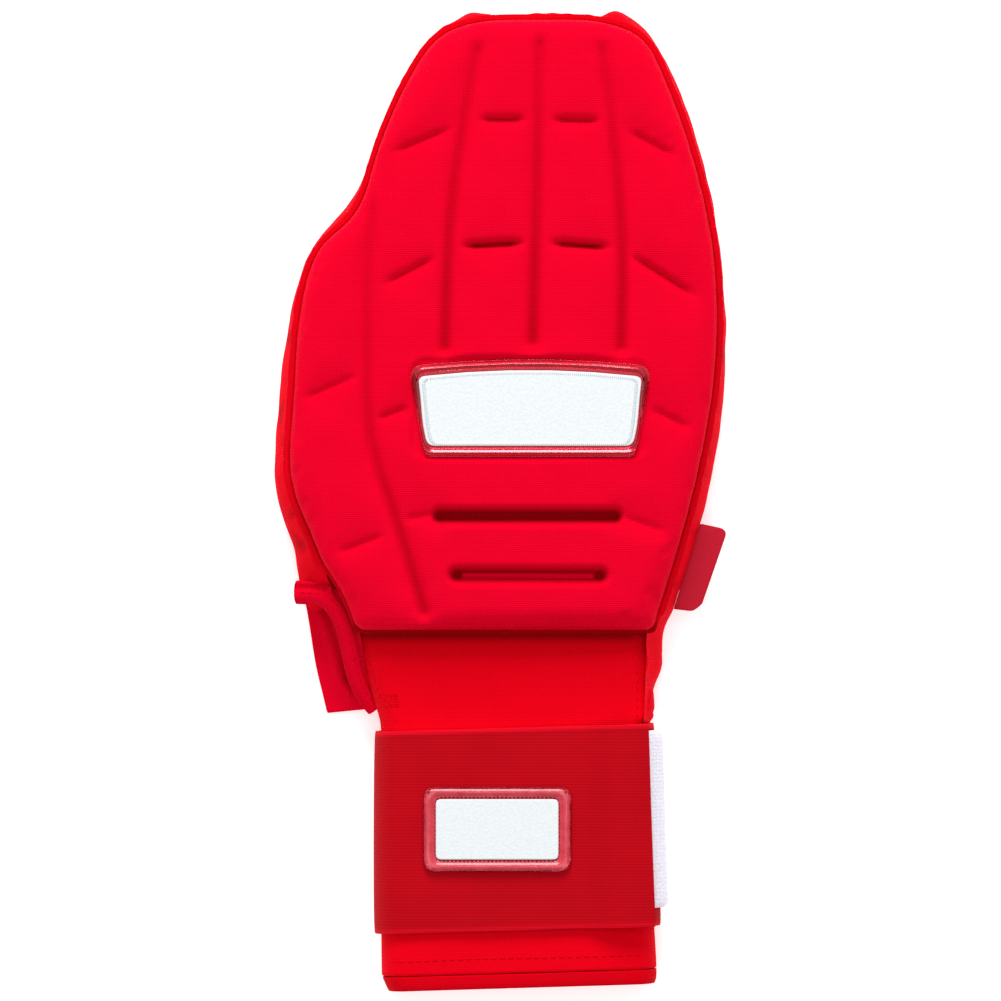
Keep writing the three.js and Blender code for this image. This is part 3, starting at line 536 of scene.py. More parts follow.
# %% Lean the wall's tail onto the neck
NECK_SEAM = [(45.4, -34), (45.2, -43), (44.9, -55), (44.4, -68)]
SEAM_HEIGHT = 22.3
TAIL_TOP = [(36, WALL_TOP), (43, 22.2), (50, 17.5), (55, 13.7), (66, 13.7)]
TAIL_SIDE = 30
THUMB_SIDE = -40
tail = smooth_step(-34, -42, y) * (x > TAIL_SIDE)
tail_height = np.interp(-y, *zip(*TAIL_TOP))
risen = np.clip(z / tail_height, 0, 1)
seam_x = np.interp(-y, [-point[1] for point in NECK_SEAM], [point[0] for point in NECK_SEAM])
z += tail * risen * (SEAM_HEIGHT - tail_height)
x += tail * risen**2 * (seam_x - x)
y -= 2.3 * smooth_step(-60, -68, y) * (x > TAIL_SIDE)
y -= 2.0 * smooth_step(-14, -25, y) * (x < THUMB_SIDE)
z -= 3.0 * smooth_step(-19, -25, y) * (x < THUMB_SIDE) * smooth_step(9, 15, z)
x += 0.7 * smooth_step(-19, -26, y) * (x < -50)

# %% [markdown]
# At the finger tips the wall is gathered hardest, and two of its folds stand beyond the rest of the outline.
# Each fold has its middle, half its width and how far it stands out, in millimetres.

# %% The folds at the finger tips
tip = smooth_step(143, 150, y) * smooth_step(WALL_TOP, 20.5, z)
TIP_FOLDS = [(35.8, 3.6, 1.4), (-9.3, 3.2, 0.7), (0.5, 3.0, -0.45), (31.2, 1.8, -0.4), (14, 6, 0.25)]
for middle, half, height in TIP_FOLDS:
    y += tip * height * bell(x - middle, half)
    # Beside each tip fold the painted shade of the creases is deepened; the wall's points don't move with this.
    gather = gather - 0.5 * tip * bell(np.abs(x - middle) - 1.2 * half, 1.2)
set_points(gathered_wall, np.column_stack((x, y, z)))
# The troughs of the gathers and the top of the wall under its seam get painted shade.
crease_shade = 0.55 * smooth_step(-0.08, -0.4, gather) + 0.35 * smooth_step(21.2, 22.6, z)
mark(gathered_wall, "pressed_and_shaded", crease_shade)
report(gathered_wall)

# %% [markdown]
# ## The seam between pad and wall
# The cover of the pad and the wall are sewn together, edge to edge, and the overlocked allowance lies inside.
# A thin cord of the same cloth runs in the crease, as the bound allowance does, and closes it.

# %% The seam cord
seam_line = [(px, py, PAD_BASE + 0.2) for px, py in outline]
lowest = min(range(len(seam_line)), key=lambda i: math.dist(seam_line[i][:2], (0, HEM_Y)))
seam_line = seam_line[lowest:] + seam_line[: lowest + 1]
bound_seam = band_along("bound_seam", seam_line, width=2.2, height=1.8, rings=400, around=10, blunt=400)
seam_y = points_of(bound_seam)[0][:, 1]
# The cord is painted with shade, darkest along the pad's lower edge, where the pad's shadow falls, and lighter
# at the finger tips.
mark(bound_seam, "pressed_and_shaded", 0.5 + 0.4 * smooth_step(-36, -40, seam_y) - 0.2 * smooth_step(120, 140, seam_y))
report(bound_seam)

# %% [markdown]
# ## Sleeve, thumb flap and hems
# These are single layers of the same stretch knit. Each keeps the place that the solid model gives it, gets
# the soft unevenness that knit shows when it lies slack, and keeps it small enough that no layer comes through
# the next one.


# %% Slack knit
UPPER_SIDE = 12


def slack(node, name, levels, size, amount, seed):
    """A node's shape as knitted cloth, uneven by amount millimetres over about size millimetres."""
    piece = refined(new_object(name, copy_of(node, crease=0.9)), levels)
    places, _ = points_of(piece)
    wave = ripple(places * (1, 1, 0.15), size, seed) * amount
    wave *= smooth_step(0.2, 2, places[:, 2])
    places[:, 2] += wave
    set_points(piece, places)
    report(piece)
    return piece


knit_sleeve = slack("sleeve", "knit_sleeve", levels=3, size=16, amount=0.3, seed=2)
places, _ = points_of(knit_sleeve)
x, y, z = places.T
x += 2.6 * smooth_step(28, 41, x) * smooth_step(-70.5, -67, y)
# Under the pad's lower edge the neck is dipped a little and painted with the pad's shadow, which fades down the
# neck.
under_edge = bell(y + 42.0, 1.6) * smooth_step(-47, -40, x) * smooth_step(49, 38, x)
z -= 0.7 * under_edge * (z > UPPER_SIDE)
set_points(knit_sleeve, np.column_stack((x, y, z)))
mark(knit_sleeve, "pressed_and_shaded", 0.7 * under_edge + 0.25 * smooth_step(-52, -44, y))
sleeve_turn_up = slack("sleeve_hem", "sleeve_turn_up", levels=3, size=11, amount=0.15, seed=7)
places, _ = points_of(sleeve_turn_up)
places[:, 0] += 1.5 * smooth_step(-147, -152.5, places[:, 1]) * smooth_step(-18, -36, places[:, 0])
set_points(sleeve_turn_up, places)
thumb_flap = slack("thumb_gusset", "thumb_flap", levels=3, size=9, amount=0.25, seed=4)

# %% [markdown]
# ## The thumb opening
# The thumb comes out between two layers. The lower one is a flap that lies on the table, and it runs on under
# the pad. The upper one ends in a wide folded hem, which follows the edge of the pad and then the neck.

# %% The flap's folds and the folded hem
FLAP_FOLD = [(-57.5, -31), (-54.0, -36), (-51.5, -42), (-49.8, -48), (-47.6, -56), (-41, -62)]
places, _ = points_of(thumb_flap)
x, y, z = places.T
under_pad = smooth_step(-46, -35.5, y)
y += 6.5 * under_pad
x -= 0.5 * under_pad
fold, _ = along(FLAP_FOLD, x, y)
z -= 1.3 * bell(fold, 1.8) * smooth_step(1.5, 4, z)
z += 0.8 * bell(fold - 3.4, 1.6) * smooth_step(1.5, 4, z) * (x < -47)
set_points(thumb_flap, np.column_stack((x, y, z)))
# The fold gets painted shade, deeper towards the flap's lower end.
mark(thumb_flap, "pressed_and_shaded", (0.5 + 0.4 * smooth_step(-45, -60, y)) * bell(fold, 1.9))

HEM_LINE = softened([
    (-63.9, -28.6, 12.8),
    (-60.6, -28.6, 14.6),
    (-54.6, -29.0, 16.8),
    (-50.4, -33.0, 17.2),
    (-47.7, -38.6, 16.6),
    (-46.2, -45.0, 15.4),
    (-45.0, -51.5, 13.8),
    (-43.4, -57.0, 12.0),
    (-40.8, -61.4, 9.6),
    (-38.0, -64.6, 8.2),
])
thumb_roll = band_along("thumb_roll", HEM_LINE, width=7.4, height=3.8, rings=90, around=28, blunt=200)
places, normals = points_of(thumb_roll)
x, y, z = places.T
hem_plan = [point[:2] for point in HEM_LINE]
away, share = along(hem_plan, x, y)
middle_x, middle_y = at_share(hem_plan, share).T
ahead_x, ahead_y = (at_share(hem_plan, share + 0.02) - at_share(hem_plan, share - 0.02)).T
pad_side = ahead_x * (y - middle_y) - ahead_y * (x - middle_x) > 0
upper = smooth_step(0.1, 0.6, normals[:, 2])
inner_crease = bell(away - 1.9, 0.6) * pad_side
outer_crease = bell(away - 2.6, 0.5) * ~pad_side
z -= upper * (1.1 * inner_crease + 0.5 * outer_crease)
z += upper * 0.35 * ripple(places, size=6, seed=21)
set_points(thumb_roll, np.column_stack((x, y, z)))
# The creases and the two edges of the hem get painted shade.
edges = 0.4 * smooth_step(3.1, 3.7, away)
mark(thumb_roll, "pressed_and_shaded", 0.6 * inner_crease + 0.25 * outer_crease + edges)
report(thumb_flap)
report(thumb_roll)

# %% [markdown]
# ## The elastic strap
# The strap is 2.5 inch ribbed elastic. Woven elastic has a denser edge, the selvage, which stands a little
# proud; it is painted lighter, partly as a highlight on its rounded edge. The ribs themselves are far too fine
# for the mesh and are left to the material.

# %% The strap and its selvages
SELVAGE_HEIGHT = 0.25
STRAP_ENDS = (-36, 44)
TAB_CORNER = 2.2
elastic_strap = refined(new_object("elastic_strap", copy_of("wrist_strap", crease=0.95)), levels=3)
places, _ = points_of(elastic_strap)
x, y, z = places.T
z += 0.15 * ripple(places * (0.4, 1, 0.2), size=7, seed=3) * smooth_step(0.3, 2, z)
at_left, at_right = y[x < STRAP_ENDS[0]], y[x > STRAP_ENDS[1]]
upper_edge = np.interp(x, STRAP_ENDS, [at_left.max(), at_right.max()])
lower_edge = np.interp(x, STRAP_ENDS, [at_left.min(), at_right.min()])
selvage_and_highlight = np.maximum(smooth_step(1.7, 0.9, upper_edge - y), 0.6 * smooth_step(1.5, 0.9, y - lower_edge))
z += SELVAGE_HEIGHT * selvage_and_highlight * (z > UPPER_SIDE)
set_points(elastic_strap, np.column_stack((x, y, z)))
# The selvages are marked so that the material paints them lighter, partly as a highlight on their rounded
# edges.
mark(elastic_strap, "selvage_and_highlight", selvage_and_highlight)
report(elastic_strap)

hook_strip = refined(new_object("hook_strip", copy_of("hook_tab", crease=0.9)), levels=3)
places, _ = points_of(hook_strip)
x, y, z = places.T
tab_low, tab_high = (Vector(corner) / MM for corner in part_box("hook_tab"))
from_end = np.minimum(y - tab_low.y, tab_high.y - y)
near_end = 1 - np.clip(from_end / TAB_CORNER, 0, 1)
rounding = TAB_CORNER * (1 - np.sqrt(np.clip(1 - near_end**2, 0, 1)))
x -= rounding * smooth_step(46, 51, x)
x += 0.9 * smooth_step(47, 50, x)
set_points(hook_strip, np.column_stack((x, y, z)))
report(hook_strip)


# %% [markdown]
# ## Moulded badges
# Both badges are moulded rubber: a glossy red rim around a white panel. The rims come from the solid model's
# own rings, with every sharp edge rounded by a bevel, because it is the rounding that catches the light.


# %% Rounded copies
WORTH_ROUNDING = 0.6
FACING_UP = 0.98
TOP_WITHIN = 0.2 * MM
TOP_INSET = 0.12 * MM


def rounded_copy(node, name, width, segments, grown=(1, 1)):
    """A copy of a node with its sharp edges bevelled, grown about its middle by two shares."""
    bm = copy_of(node)
    low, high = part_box(node)
    middle = Matrix.Translation(-(low + high) / 2)
    bmesh.ops.scale(bm, verts=bm.verts[:], vec=(grown[0], grown[1], 1), space=middle)
    sharp = [edge for edge in bm.edges if edge.is_manifold and edge.calc_face_angle() > WORTH_ROUNDING]
    bmesh.ops.bevel(
        bm,
        geom=sharp,
        offset=width * MM,
        offset_type="OFFSET",
        affect="EDGES",
        segments=segments,
        profile=0.5,
        material=-1,
    )
    level = high.z - TOP_WITHIN
    top = [face for face in bm.faces if face.normal.z > FACING_UP and face.calc_center_median().z > level]
    bmesh.ops.inset_region(bm, faces=top, thickness=TOP_INSET, use_even_offset=True)
    piece = new_object(name, bm)
    report(piece)
    return piece


badge_rim = rounded_copy("badge_frame", "badge_rim", width=1.2, segments=7, grown=(1.02, 1.03))
badge_panel = rounded_copy("badge_field", "badge_panel", width=0.2, segments=3, grown=(1.035, 1.03))
patch_rim = rounded_copy("patch_frame", "patch_rim", width=0.8, segments=7, grown=(1.04, 1.03))
patch_panel = rounded_copy("patch_field", "patch_panel", width=0.2, segments=3, grown=(1.03, 1.02))
woven_tag = rounded_copy("side_tag", "woven_tag", width=0.35, segments=3)

# %% [markdown]
# The badge's white panel is nearly as wide at its foot as at its top, so the rim is thin beside it. The inner
# side of the rim and the panel are spread together, while the rim's outer side stays.


# %% Spread the foot of the badge
SPREAD = 1.9


def foot_spread(x, y):
    """How far a point of the badge moves sideways, in millimetres."""
    offset = x - seat_middle.x
    outer = np.interp(y, [14, 36, 43], [32.9, 36.9, 36.0])
    inside = smooth_step(0.3, 2.6, outer - np.abs(offset))
    return np.sign(offset) * SPREAD * smooth_step(39, 20, y) * inside * smooth_step(15, 29, np.abs(offset))


for piece in (badge_rim, badge_panel):
    places, _ = points_of(piece)
    places[:, 0] += foot_spread(places[:, 0], places[:, 1])
    set_points(piece, places)

# %% [markdown]
# The tag is sewn into the seam of the wall at a slant, so its inner edge is tucked behind the wall and its
# lower edge hangs a little straighter than a rectangle's would.

# %% Set the tag into the wall
places, _ = points_of(woven_tag)
x, y, z = places.T
hung = np.clip((-7 - y) / 27, 0, 1)
x += 1.4 * hung - 2.8 * smooth_step(61, 57, x + 0.33 * (y + 20))
x -= 1.8 * smooth_step(-24, -10, y) * smooth_step(66, 62.5, x)
y += hung * (0.2 * (x - 61) + 0.4)
set_points(woven_tag, np.column_stack((x, y, z)))

# %% [markdown]
# ## Clear of one another
# Cloth lies on cloth and doesn't run through it. Where the shaping above has carried a piece into its
# neighbour, the points inside are set back just off the neighbour's surface, and evened out between two such
# steps. That leaves small crossings, less than half a millimetre deep where they were measured, and a few
# points of the wall and the hem land differently from run to run. The seam cord, the stitches and the badge
# stay sunk on purpose, because they are sewn or moulded on.

# %% Set the cloth clear of its neighbours
CLEARANCE = 0.12 * MM
SEARCHED = 4 * MM
SOFTENING = (0.6, 0.6, 0)
ROUNDS = 3


def kept_clear(piece, neighbour, from_y=-200):
    """Moves a piece's points inside a closed neighbour, where y is more than from_y, to just outside it."""
    tree = surface_of(neighbour)
    bm = bmesh.new()
    bm.from_mesh(piece.data)
    for softening in SOFTENING:
        moved = []
        for vert in bm.verts:
            spot, outward, _, _ = tree.find_nearest(vert.co, SEARCHED)
            if vert.co.y > from_y * MM and spot is not None and (vert.co - spot).dot(outward) < CLEARANCE:
                vert.co = spot + outward * CLEARANCE
                vert.co.z = max(vert.co.z, 0)
                moved.append(vert)
        if moved and softening:
            bmesh.ops.smooth_vert(
                bm, verts=moved, factor=softening, use_axis_x=True, use_axis_y=True, use_axis_z=True
            )
    bm.to_mesh(piece.data)
    bm.free()
    piece.data.update()
    print(piece.name, len(moved), "points set clear of", neighbour.name)


for _ in range(ROUNDS):
    for pair in [
        (thumb_flap, palm_cushion),
        (thumb_flap, knit_sleeve),
        (palm_cushion, thumb_flap),
        (thumb_roll, knit_sleeve),
        (knit_sleeve, thumb_roll),
        (gathered_wall, knit_sleeve),
        (knit_sleeve, gathered_wall, -65),
        (gathered_wall, thumb_roll),
        (thumb_roll, gathered_wall),
        (gathered_wall, elastic_strap),
        (gathered_wall, padded_back),
        (woven_tag, gathered_wall),
        (gathered_wall, woven_tag),
    ]:
        kept_clear(*pair)

# %% [markdown]
# ## Stitches
# A sewing machine leaves short raised lengths of thread, evenly spaced, with a small dip between them. Each
# stitch is a stretched ball of twenty faces. A ray dropped from above finds the cloth under it, so the row
# follows every fold. Satin stitches lie across their row instead of along it.

# %% Sew a row of stitches
DROP_HEIGHT = 80


def stitched(name, line, under, length, spacing, width, satin=False):
    """A row of stitches in millimetres along a flat line, lying on top of a piece."""
    top = surface_of(under)
    run = sum(math.dist(a[:2], b[:2]) for a, b in zip(line[:-1], line[1:]))
    count = int(run / spacing)
    bm = bmesh.new()
    for index in range(count):
        middle = (index + 0.5) / count
        ends = at_share(line, [middle - 0.5 * length / run, middle + 0.5 * length / run])[:, :2]
        if satin:
            centre, half = ends.mean(0), (ends[1] - ends[0]) / 2
            ends = [centre + (-half[1], half[0]), centre + (half[1], -half[0])]
        found = [top.ray_cast(Vector((*end, DROP_HEIGHT)) * MM, Vector((0, 0, -1))) for end in ends]
        if any(hit[0] is None for hit in found):
            continue
        (a, up, _, _), (b, _, _, _) = found
        turn = (b - a).to_track_quat("X", "Z").to_matrix().to_4x4()
        size = Matrix.Diagonal((length * MM / 2, width * MM / 2, width * MM / 2, 1))
        lay = Matrix.Translation((a + b) / 2 + up * 0.25 * width * MM) @ turn @ size
        bmesh.ops.create_icosphere(bm, subdivisions=1, radius=1, matrix=lay)
    print(name, count, "stitches")
    return new_object(name, bm)


def ring_of(node, level, inward):
    """The outline of a node at a level, drawn in by that many millimetres, as a closed line."""
    bm = outline_of(node, level)
    bmesh.ops.inset_region(bm, faces=bm.faces[:], thickness=inward * MM, use_boundary=True)
    inner = max(bm.faces, key=lambda face: face.calc_area())
    ring = [(vert.co.x / MM, vert.co.y / MM) for vert in inner.verts]
    bm.free()
    return ring + ring[:1]


# %% The seams of the mitt
RING_LEVEL = 0.3
BAR_TACKS = 4
panel_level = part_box("badge_field")[0].z / MM + RING_LEVEL
patch_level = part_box("patch_field")[0].z / MM + RING_LEVEL
neck_left = softened([(-42.4, -41.5), (-40.2, -52.0), (-37.2, -62.0)])
neck_right = [(42.3, -41.0), (42.6, -54.0), (42.4, -68.0)]
tail_hem = [(-34.6, -143.4), (-9, -142.4), (46.4, -141.2)]
badge_ring = [(x + foot_spread(x, y), y) for x, y in ring_of("badge_field", panel_level, 0.35)]
patch_ring = ring_of("patch_field", patch_level, -0.7)
seams = [
    (stitched("neck_seam_left", neck_left, knit_sleeve, length=1.7, spacing=2.5, width=0.4), "thread"),
    (stitched("neck_seam_right", neck_right, knit_sleeve, length=1.7, spacing=2.5, width=0.4), "thread"),
    (stitched("tail_hem_stitches", tail_hem, knit_sleeve, length=1.9, spacing=2.6, width=0.4), "thread"),
    (stitched("thumb_hem_stitches", HEM_LINE[3:], thumb_roll, length=1.6, spacing=2.4, width=0.35), "thread"),
    (stitched("badge_border", badge_ring, badge_panel, 1.3, 0.62, 0.42, satin=True), "white"),
    (stitched("patch_stitches", patch_ring, patch_rim, length=0.8, spacing=1.25, width=0.45), "dark"),
]
for n in range(BAR_TACKS):
    tack_line = [(-37.5 + n * 1.6, -59.6), (-36.9 + n * 1.6, -64.4)]
    tack = stitched(f"bar_tack_{n}", tack_line, knit_sleeve, length=1.5, spacing=0.7, width=0.4, satin=True)
    seams.append((tack, "thread"))

# %% [markdown]
# ## Materials
# Colours are given as the sRGB hex values that a photograph shows, and one function turns them into the linear
# values that Blender works in. Another adds a node with its settings and links, and everything else is a matter
# of saying what each finish is made of.

# %% Colour and node helpers
def linear(code):
    """Turns an sRGB hex colour into linear red, green, blue and alpha."""
    parts = [int(code[i : i + 2], 16) / 255 for i in (1, 3, 5)]
    return [p / 12.92 if p <= 0.04045 else ((p + 0.055) / 1.055) ** 2.4 for p in parts] + [1]


def add(tree, kind, settings=None, links=None):
    """Adds a node, sets its properties and sockets, and links its inputs."""
    node = tree.nodes.new("ShaderNode" + kind)
    for key, value in (settings or {}).items():
        if isinstance(key, int) or key in node.inputs:
            node.inputs[key].default_value = value
        else:
            setattr(node, key, value)
    for key, source in (links or {}).items():
        tree.links.new(source, node.inputs[key])
    return node


def finish_named(name, colour, roughness, **sockets):
    """Starts a material: returns it, its node tree, its shader and the object coordinates."""
    made = bpy.data.materials.new(name)
    made.use_nodes = True
    tree = made.node_tree
    shader = tree.nodes["Principled BSDF"]
    shader.inputs["Base Color"].default_value = linear(colour)
    shader.inputs["Roughness"].default_value = roughness
    for key, value in sockets.items():
        shader.inputs[key.replace("_", " ")].default_value = value
    place = add(tree, "TexCoord").outputs["Object"]
    return made, tree, shader, place


def wave(tree, place, way, pitch, **settings):
    """Bands across a direction, one every pitch millimetres, as shares from 0 to 1."""
    scale = math.pi / 10 / (pitch * MM)
    named = {key.replace("_", " "): value for key, value in settings.items()}
    links = {"Vector": place}
    return add(tree, "TexWave", {"bands_direction": way, "Scale": scale, **named}, links).outputs["Fac"]


def between(tree, share, low, high):
    """Mixes two colours by a share."""
    mix = add(tree, "Mix", {"data_type": "RGBA", 6: linear(low), 7: linear(high)}, {0: share})
    return mix.outputs[2]


def over(tree, share, colour, under):
    """Lays a colour over whatever is under it, by a share."""
    mix = add(tree, "Mix", {"data_type": "RGBA", 7: linear(colour)}, {0: share, 6: under})
    return mix.outputs[2]


def bumped(tree, shader, height, distance, strength=1.0, under=None):
    """Adds a relief of distance millimetres to a shader, on top of another relief."""
    links = {"Height": height}
    if under:
        links["Normal"] = under
    bump = add(tree, "Bump", {"Distance": distance * MM, "Strength": strength}, links)
    tree.links.new(bump.outputs["Normal"], shader.inputs["Normal"])
    return bump.outputs["Normal"]


# %% [markdown]
# ## Stretch knit
# Knitted polyester with elastane is matt with a soft sheen, because light grazes the ends of its fibres. Its
# loops stand in columns about half a millimetre apart, drawn here at 0.8 mm so that they show. A slow noise
# makes the dye a little uneven.


# %% Knitted cloth
def knitted(name, light, dark, pitch=0.8, depth=0.1):
    made, tree, shader, place = finish_named(
        name, light, 0.85, Sheen_Weight=0.02, Sheen_Roughness=0.5, Specular_IOR_Level=0.03
    )
    shader.inputs["Sheen Tint"].default_value = linear("#FF4058")
    columns = wave(tree, place, "X", pitch, Distortion=0.6, Detail_Scale=2.0)
    courses = wave(tree, place, "Y", pitch * 0.8, Distortion=0.8)
    loops = add(tree, "Math", {"operation": "MULTIPLY"}, {0: columns, 1: courses})
    mottle = add(tree, "TexNoise", {"Scale": 90.0, "Detail": 4.0}, {"Vector": place})
    fuzz = add(tree, "TexNoise", {"Scale": 2600.0, "Detail": 2.0}, {"Vector": place})
    dyed = between(tree, mottle.outputs["Fac"], dark, light)
    # The note on each point darkens the cloth towards a deep red: painted shade in creases, in seams and under
    # the pad's lower edge, and in the pad's channels partly the denser pressed cover and partly painted shade.
    note = add(tree, "Attribute", {"attribute_name": "pressed_and_shaded"})
    shade_share = add(tree, "MapRange", {"From Min": 0.05, "To Max": 0.9}, {"Value": note.outputs["Fac"]})
    tree.links.new(over(tree, shade_share.outputs[0], "#860006", dyed), shader.inputs["Base Color"])
    coarse = bumped(tree, shader, loops.outputs[0], depth)
    bumped(tree, shader, fuzz.outputs["Fac"], 0.05, 0.6, coarse)
    return made


foam_cover_knit = knitted("polyester knit, brushed face", "#F2002B", "#E80026")
# The wall's knit is painted lighter than the others, to make up for the light that its upright sides miss; the
# palm pad and the seam cord wear it too.
wall_knit = knitted("polyester stretch knit, gathered", "#FC001F", "#F0001B")
sleeve_knit = knitted("polyester stretch knit, single layer", "#F2001A", "#E80016")
tail_knit = knitted("polyester stretch knit, hemmed double", "#E20016", "#D80013")
print("knits:", foam_cover_knit.name, wall_knit.name, sleeve_knit.name, tail_knit.name)

# %% [markdown]
# ## Woven elastic
# Elastic webbing is woven with ribs across its stretch, about one a millimetre. The ribs are rounded, with
# painted shade in the lines between them, and covered threads run the other way. The selvages are painted
# lighter, partly as a highlight on their rounded edges.

# %% Ribbed elastic
ribbed_elastic, tree, shader, place = finish_named(
    "ribbed woven elastic, dyed polyester", "#BE0116", 0.8, Sheen_Weight=0.03, Specular_IOR_Level=0.08
)
shader.inputs["Sheen Tint"].default_value = linear("#FF6070")
ribs = wave(tree, place, "Y", 0.95, Distortion=0.35, Detail=2.0, Detail_Scale=1.5)
cover = wave(tree, place, "X", 0.8, Distortion=0.5)
weave = add(tree, "Math", {"operation": "MULTIPLY_ADD", 1: 0.35}, {0: cover, 2: ribs})
shade = add(tree, "MapRange", {"From Min": 0.0, "From Max": 1.35}, {"Value": weave.outputs[0]})
blotch = add(tree, "TexNoise", {"Scale": 70.0, "Detail": 4.0}, {"Vector": place})
worn = between(tree, blotch.outputs["Fac"], "#B80011", "#C80016")
# The grooves between the ribs are painted darker, as shade.
groove_shade = add(tree, "MapRange", {"To Min": 0.16, "To Max": 0.0}, {"Value": shade.outputs[0]})
ribbed = over(tree, groove_shade.outputs[0], "#7E0006", worn)
# The selvages are painted lighter, partly as a highlight on their rounded edges.
note = add(tree, "Attribute", {"attribute_name": "selvage_and_highlight"})
edged = over(tree, note.outputs["Fac"], "#E40420", ribbed)
tree.links.new(edged, shader.inputs["Base Color"])
bumped(tree, shader, weave.outputs[0], 0.05)
print("strap:", ribbed_elastic.name)

# %% [markdown]
# ## Hook tape, moulded rubber and the woven tag
# Hook tape is a pale nylon strip covered in fine hooks, which read as a dense dotted nap. The badge rims are
# glossy rubber with a clear coat, like wet paint, and the panels are white rubber with a fine stipple. The tag
# is a damask label: very fine threads with a silky sheen.

# %% The small finishes
def patterned(name, colour, roughness, texture, tones, relief=0, strength=1.0, **sockets):
    """A finish whose two tones and whose relief in millimetres both follow one texture."""
    made, tree, shader, place = finish_named(name, colour, roughness, **sockets)
    share = texture(tree, place)
    tree.links.new(between(tree, share, *tones), shader.inputs["Base Color"])
    if relief:
        bumped(tree, shader, share, relief, strength)
    return made


def dots(scale, **settings):
    """Cells of a regular or scattered dot pattern."""

    def texture(tree, place):
        cells = add(tree, "TexVoronoi", {"Scale": scale, **settings}, {"Vector": place})
        return cells.outputs["Distance"]

    return texture


def swirls(scale):
    """Slow clouds, as in rubber that flowed into its mould."""

    def texture(tree, place):
        return add(tree, "TexNoise", {"Scale": scale, "Detail": 3.0}, {"Vector": place}).outputs["Fac"]

    return texture


def twill(pitch, **settings):
    """Slanting bands, as of plied thread or a twill weave."""

    def texture(tree, place):
        return wave(tree, place, "DIAGONAL", pitch, **settings)

    return texture


PLY = twill(0.35)
hook_nylon = patterned(
    "moulded nylon hook tape", "#F4F0FC", 0.5, dots(900.0, Randomness=0.4), ("#FAF8FF", "#E6E2F4"), relief=0.25
)
gloss_red = patterned(
    "glossy moulded rubber, metallic red", "#C01030", 0.22, swirls(160.0), ("#B4001C", "#F01A3C"),
    relief=0.2, strength=0.7, Metallic=0.6, Coat_Weight=1.0, Coat_Roughness=0.05,
)
satin_red = patterned(
    "satin moulded rubber, light red", "#D8283C", 0.34, swirls(420.0), ("#C4102A", "#EC4C5E"),
    relief=0.25, strength=0.7, Coat_Weight=0.5, Coat_Roughness=0.2,
)
white_rubber = patterned(
    "white moulded rubber, stippled", "#F2F5F7", 0.45, dots(1100.0), ("#F0F4F5", "#E4EAEE"), relief=0.05
)
damask = patterned(
    "woven damask label", "#B80C24", 0.6, twill(0.5, Distortion=0.4), ("#B20824", "#CE1032"), relief=0.06,
    Sheen_Weight=0.05, Specular_IOR_Level=0.15,
)
threads_used = {
    "thread": patterned(
        "bonded polyester sewing thread", "#D4000F", 0.7, PLY, ("#C8000E", "#EE001C"), Specular_IOR_Level=0.05
    ),
    # The same red thread, painted dark with the shade of the stitch holes it lies in.
    "dark": patterned(
        "bonded polyester thread in a stitch hole", "#70000A", 0.6, PLY, ("#5A0006", "#8A0010"),
        Specular_IOR_Level=0.2,
    ),
    "white": patterned(
        "white rayon embroidery thread", "#F2F5F7", 0.4, PLY, ("#DCE4E8", "#F4F7F8"), Sheen_Weight=0.1
    ),
}
for row, kind in seams:
    row.data.materials.append(threads_used[kind])

# Each piece, the node it stands for, the finish of the parts list it wears, and its material.
DRESSED = [
    (padded_back, "back_pad", "foam_cover", foam_cover_knit),
    (palm_cushion, "palm_pad", "foam_cover", wall_knit),
    (gathered_wall, "side_wall", "stretch_cloth", wall_knit),
    (knit_sleeve, "sleeve", "stretch_cloth", sleeve_knit),
    (sleeve_turn_up, "sleeve_hem", "stretch_cloth", tail_knit),
    (thumb_flap, "thumb_gusset", "stretch_cloth", foam_cover_knit),
    (thumb_roll, "thumb_hem", "stretch_cloth", foam_cover_knit),
    (elastic_strap, "wrist_strap", "elastic", ribbed_elastic),
    (hook_strip, "hook_tab", "hook_tape", hook_nylon),
    (badge_rim, "badge_frame", "gloss_rubber", gloss_red),
    (badge_panel, "badge_field", "white_rubber", white_rubber),
    (patch_rim, "patch_frame", "gloss_rubber", satin_red),
    (patch_panel, "patch_field", "white_rubber", white_rubber),
    (woven_tag, "side_tag", "label", damask),
]
for piece, finish in [(piece, finish) for piece, _, _, finish in DRESSED] + [(bound_seam, wall_knit)]:
    piece.data.materials.clear()
    piece.data.materials.append(finish)
print(len(bpy.data.materials), "materials in the file")

# %% [markdown]
# ## Floor, light and camera
# The mitt lies on a white table, faintly lit from below, under soft studio light. The camera looks straight
# down from far away with a long lens, as in a catalogue photograph, so that the heights of the mitt hardly
# change its outline.

# %% The studio
TABLE_TOP = -0.4 * MM
TABLE_SIZE = 3
TABLE_GLOW = 0.5
WALLS_GLOW = 0.38

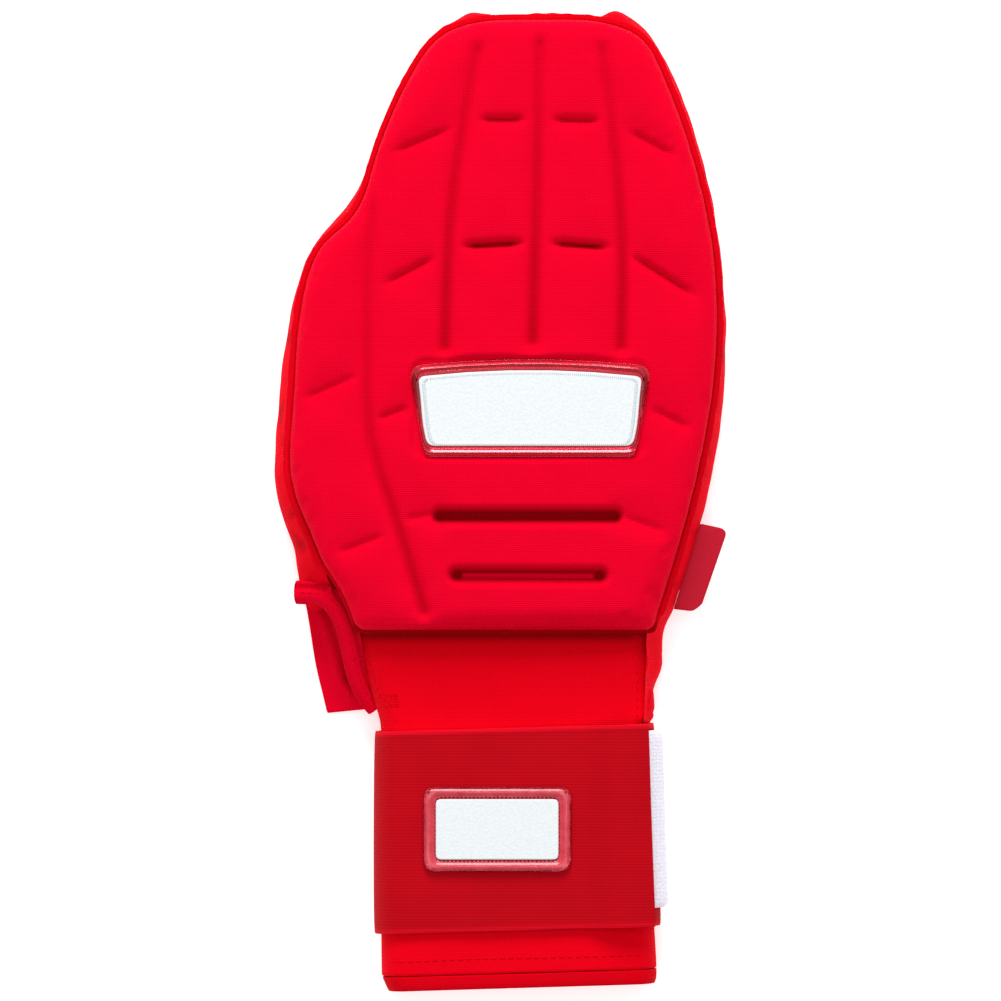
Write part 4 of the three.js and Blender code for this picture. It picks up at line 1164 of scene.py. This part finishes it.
floor_bm = bmesh.new()
table_plane = Matrix.Translation((0, 0, TABLE_TOP))
bmesh.ops.create_grid(floor_bm, x_segments=1, y_segments=1, size=TABLE_SIZE, matrix=table_plane)
floor = new_object("paper_floor", floor_bm)
acrylic, tree, shader, place = finish_named(
    "white acrylic table, lit from below", "#FFFFFF", 0.9, Emission_Strength=TABLE_GLOW
)
grain = add(tree, "TexNoise", {"Scale": 60.0, "Detail": 3.0}, {"Vector": place})
tree.links.new(between(tree, grain.outputs["Fac"], "#FCFCFC", "#FFFFFF"), shader.inputs["Base Color"])
floor.data.materials.append(acrylic)


def soft_light(name, power, size, place, aim=(0, 0, 0)):
    """A square area light that looks at a point."""
    light = bpy.data.lights.new(name, "AREA")
    light.energy = power
    light.size = size
    lamp = bpy.data.objects.new(name, light)
    lamp.location = place
    lamp.rotation_euler = (Vector(aim) - Vector(place)).to_track_quat("-Z", "Y").to_euler()
    bpy.context.scene.collection.objects.link(lamp)
    return lamp


soft_light("window_light", power=66, size=1.3, place=(-0.15, 2.4, 1.6))
soft_light("overhead_fill", power=11.5, size=1.6, place=(0, -0.1, 1.8))
bpy.context.scene.view_settings.view_transform = "Standard"

world = bpy.data.worlds.new("studio walls")
world.use_nodes = True
world.node_tree.nodes["Background"].inputs["Color"].default_value = (1, 1, 1, 1)
world.node_tree.nodes["Background"].inputs["Strength"].default_value = WALLS_GLOW
bpy.context.scene.world = world

FRAME_WIDTH = 310.9
CAMERA_HEIGHT = 3.0
MITT_MIDDLE = 0.02
SENSOR_WIDTH = 36
lens = bpy.data.cameras.new("catalogue_camera")
lens.sensor_width = SENSOR_WIDTH
lens.lens = SENSOR_WIDTH * (CAMERA_HEIGHT - MITT_MIDDLE) / (FRAME_WIDTH * MM)
camera = bpy.data.objects.new("catalogue_camera", lens)
camera.location = (0, 0, CAMERA_HEIGHT)
bpy.context.scene.collection.objects.link(camera)
bpy.context.scene.camera = camera

# %% [markdown]
# ## The pieces on the root
# Every piece is parented to the root, and the node of the solid model that it replaces is hidden. The mitt has
# no joints, so all of them ride on the root.

# %% Parent the pieces and hide the nodes
for piece, node, slot, _ in DRESSED:
    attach(piece, "root")
    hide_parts(node)

for piece in [bound_seam] + [row for row, _ in seams]:
    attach(piece, "root")
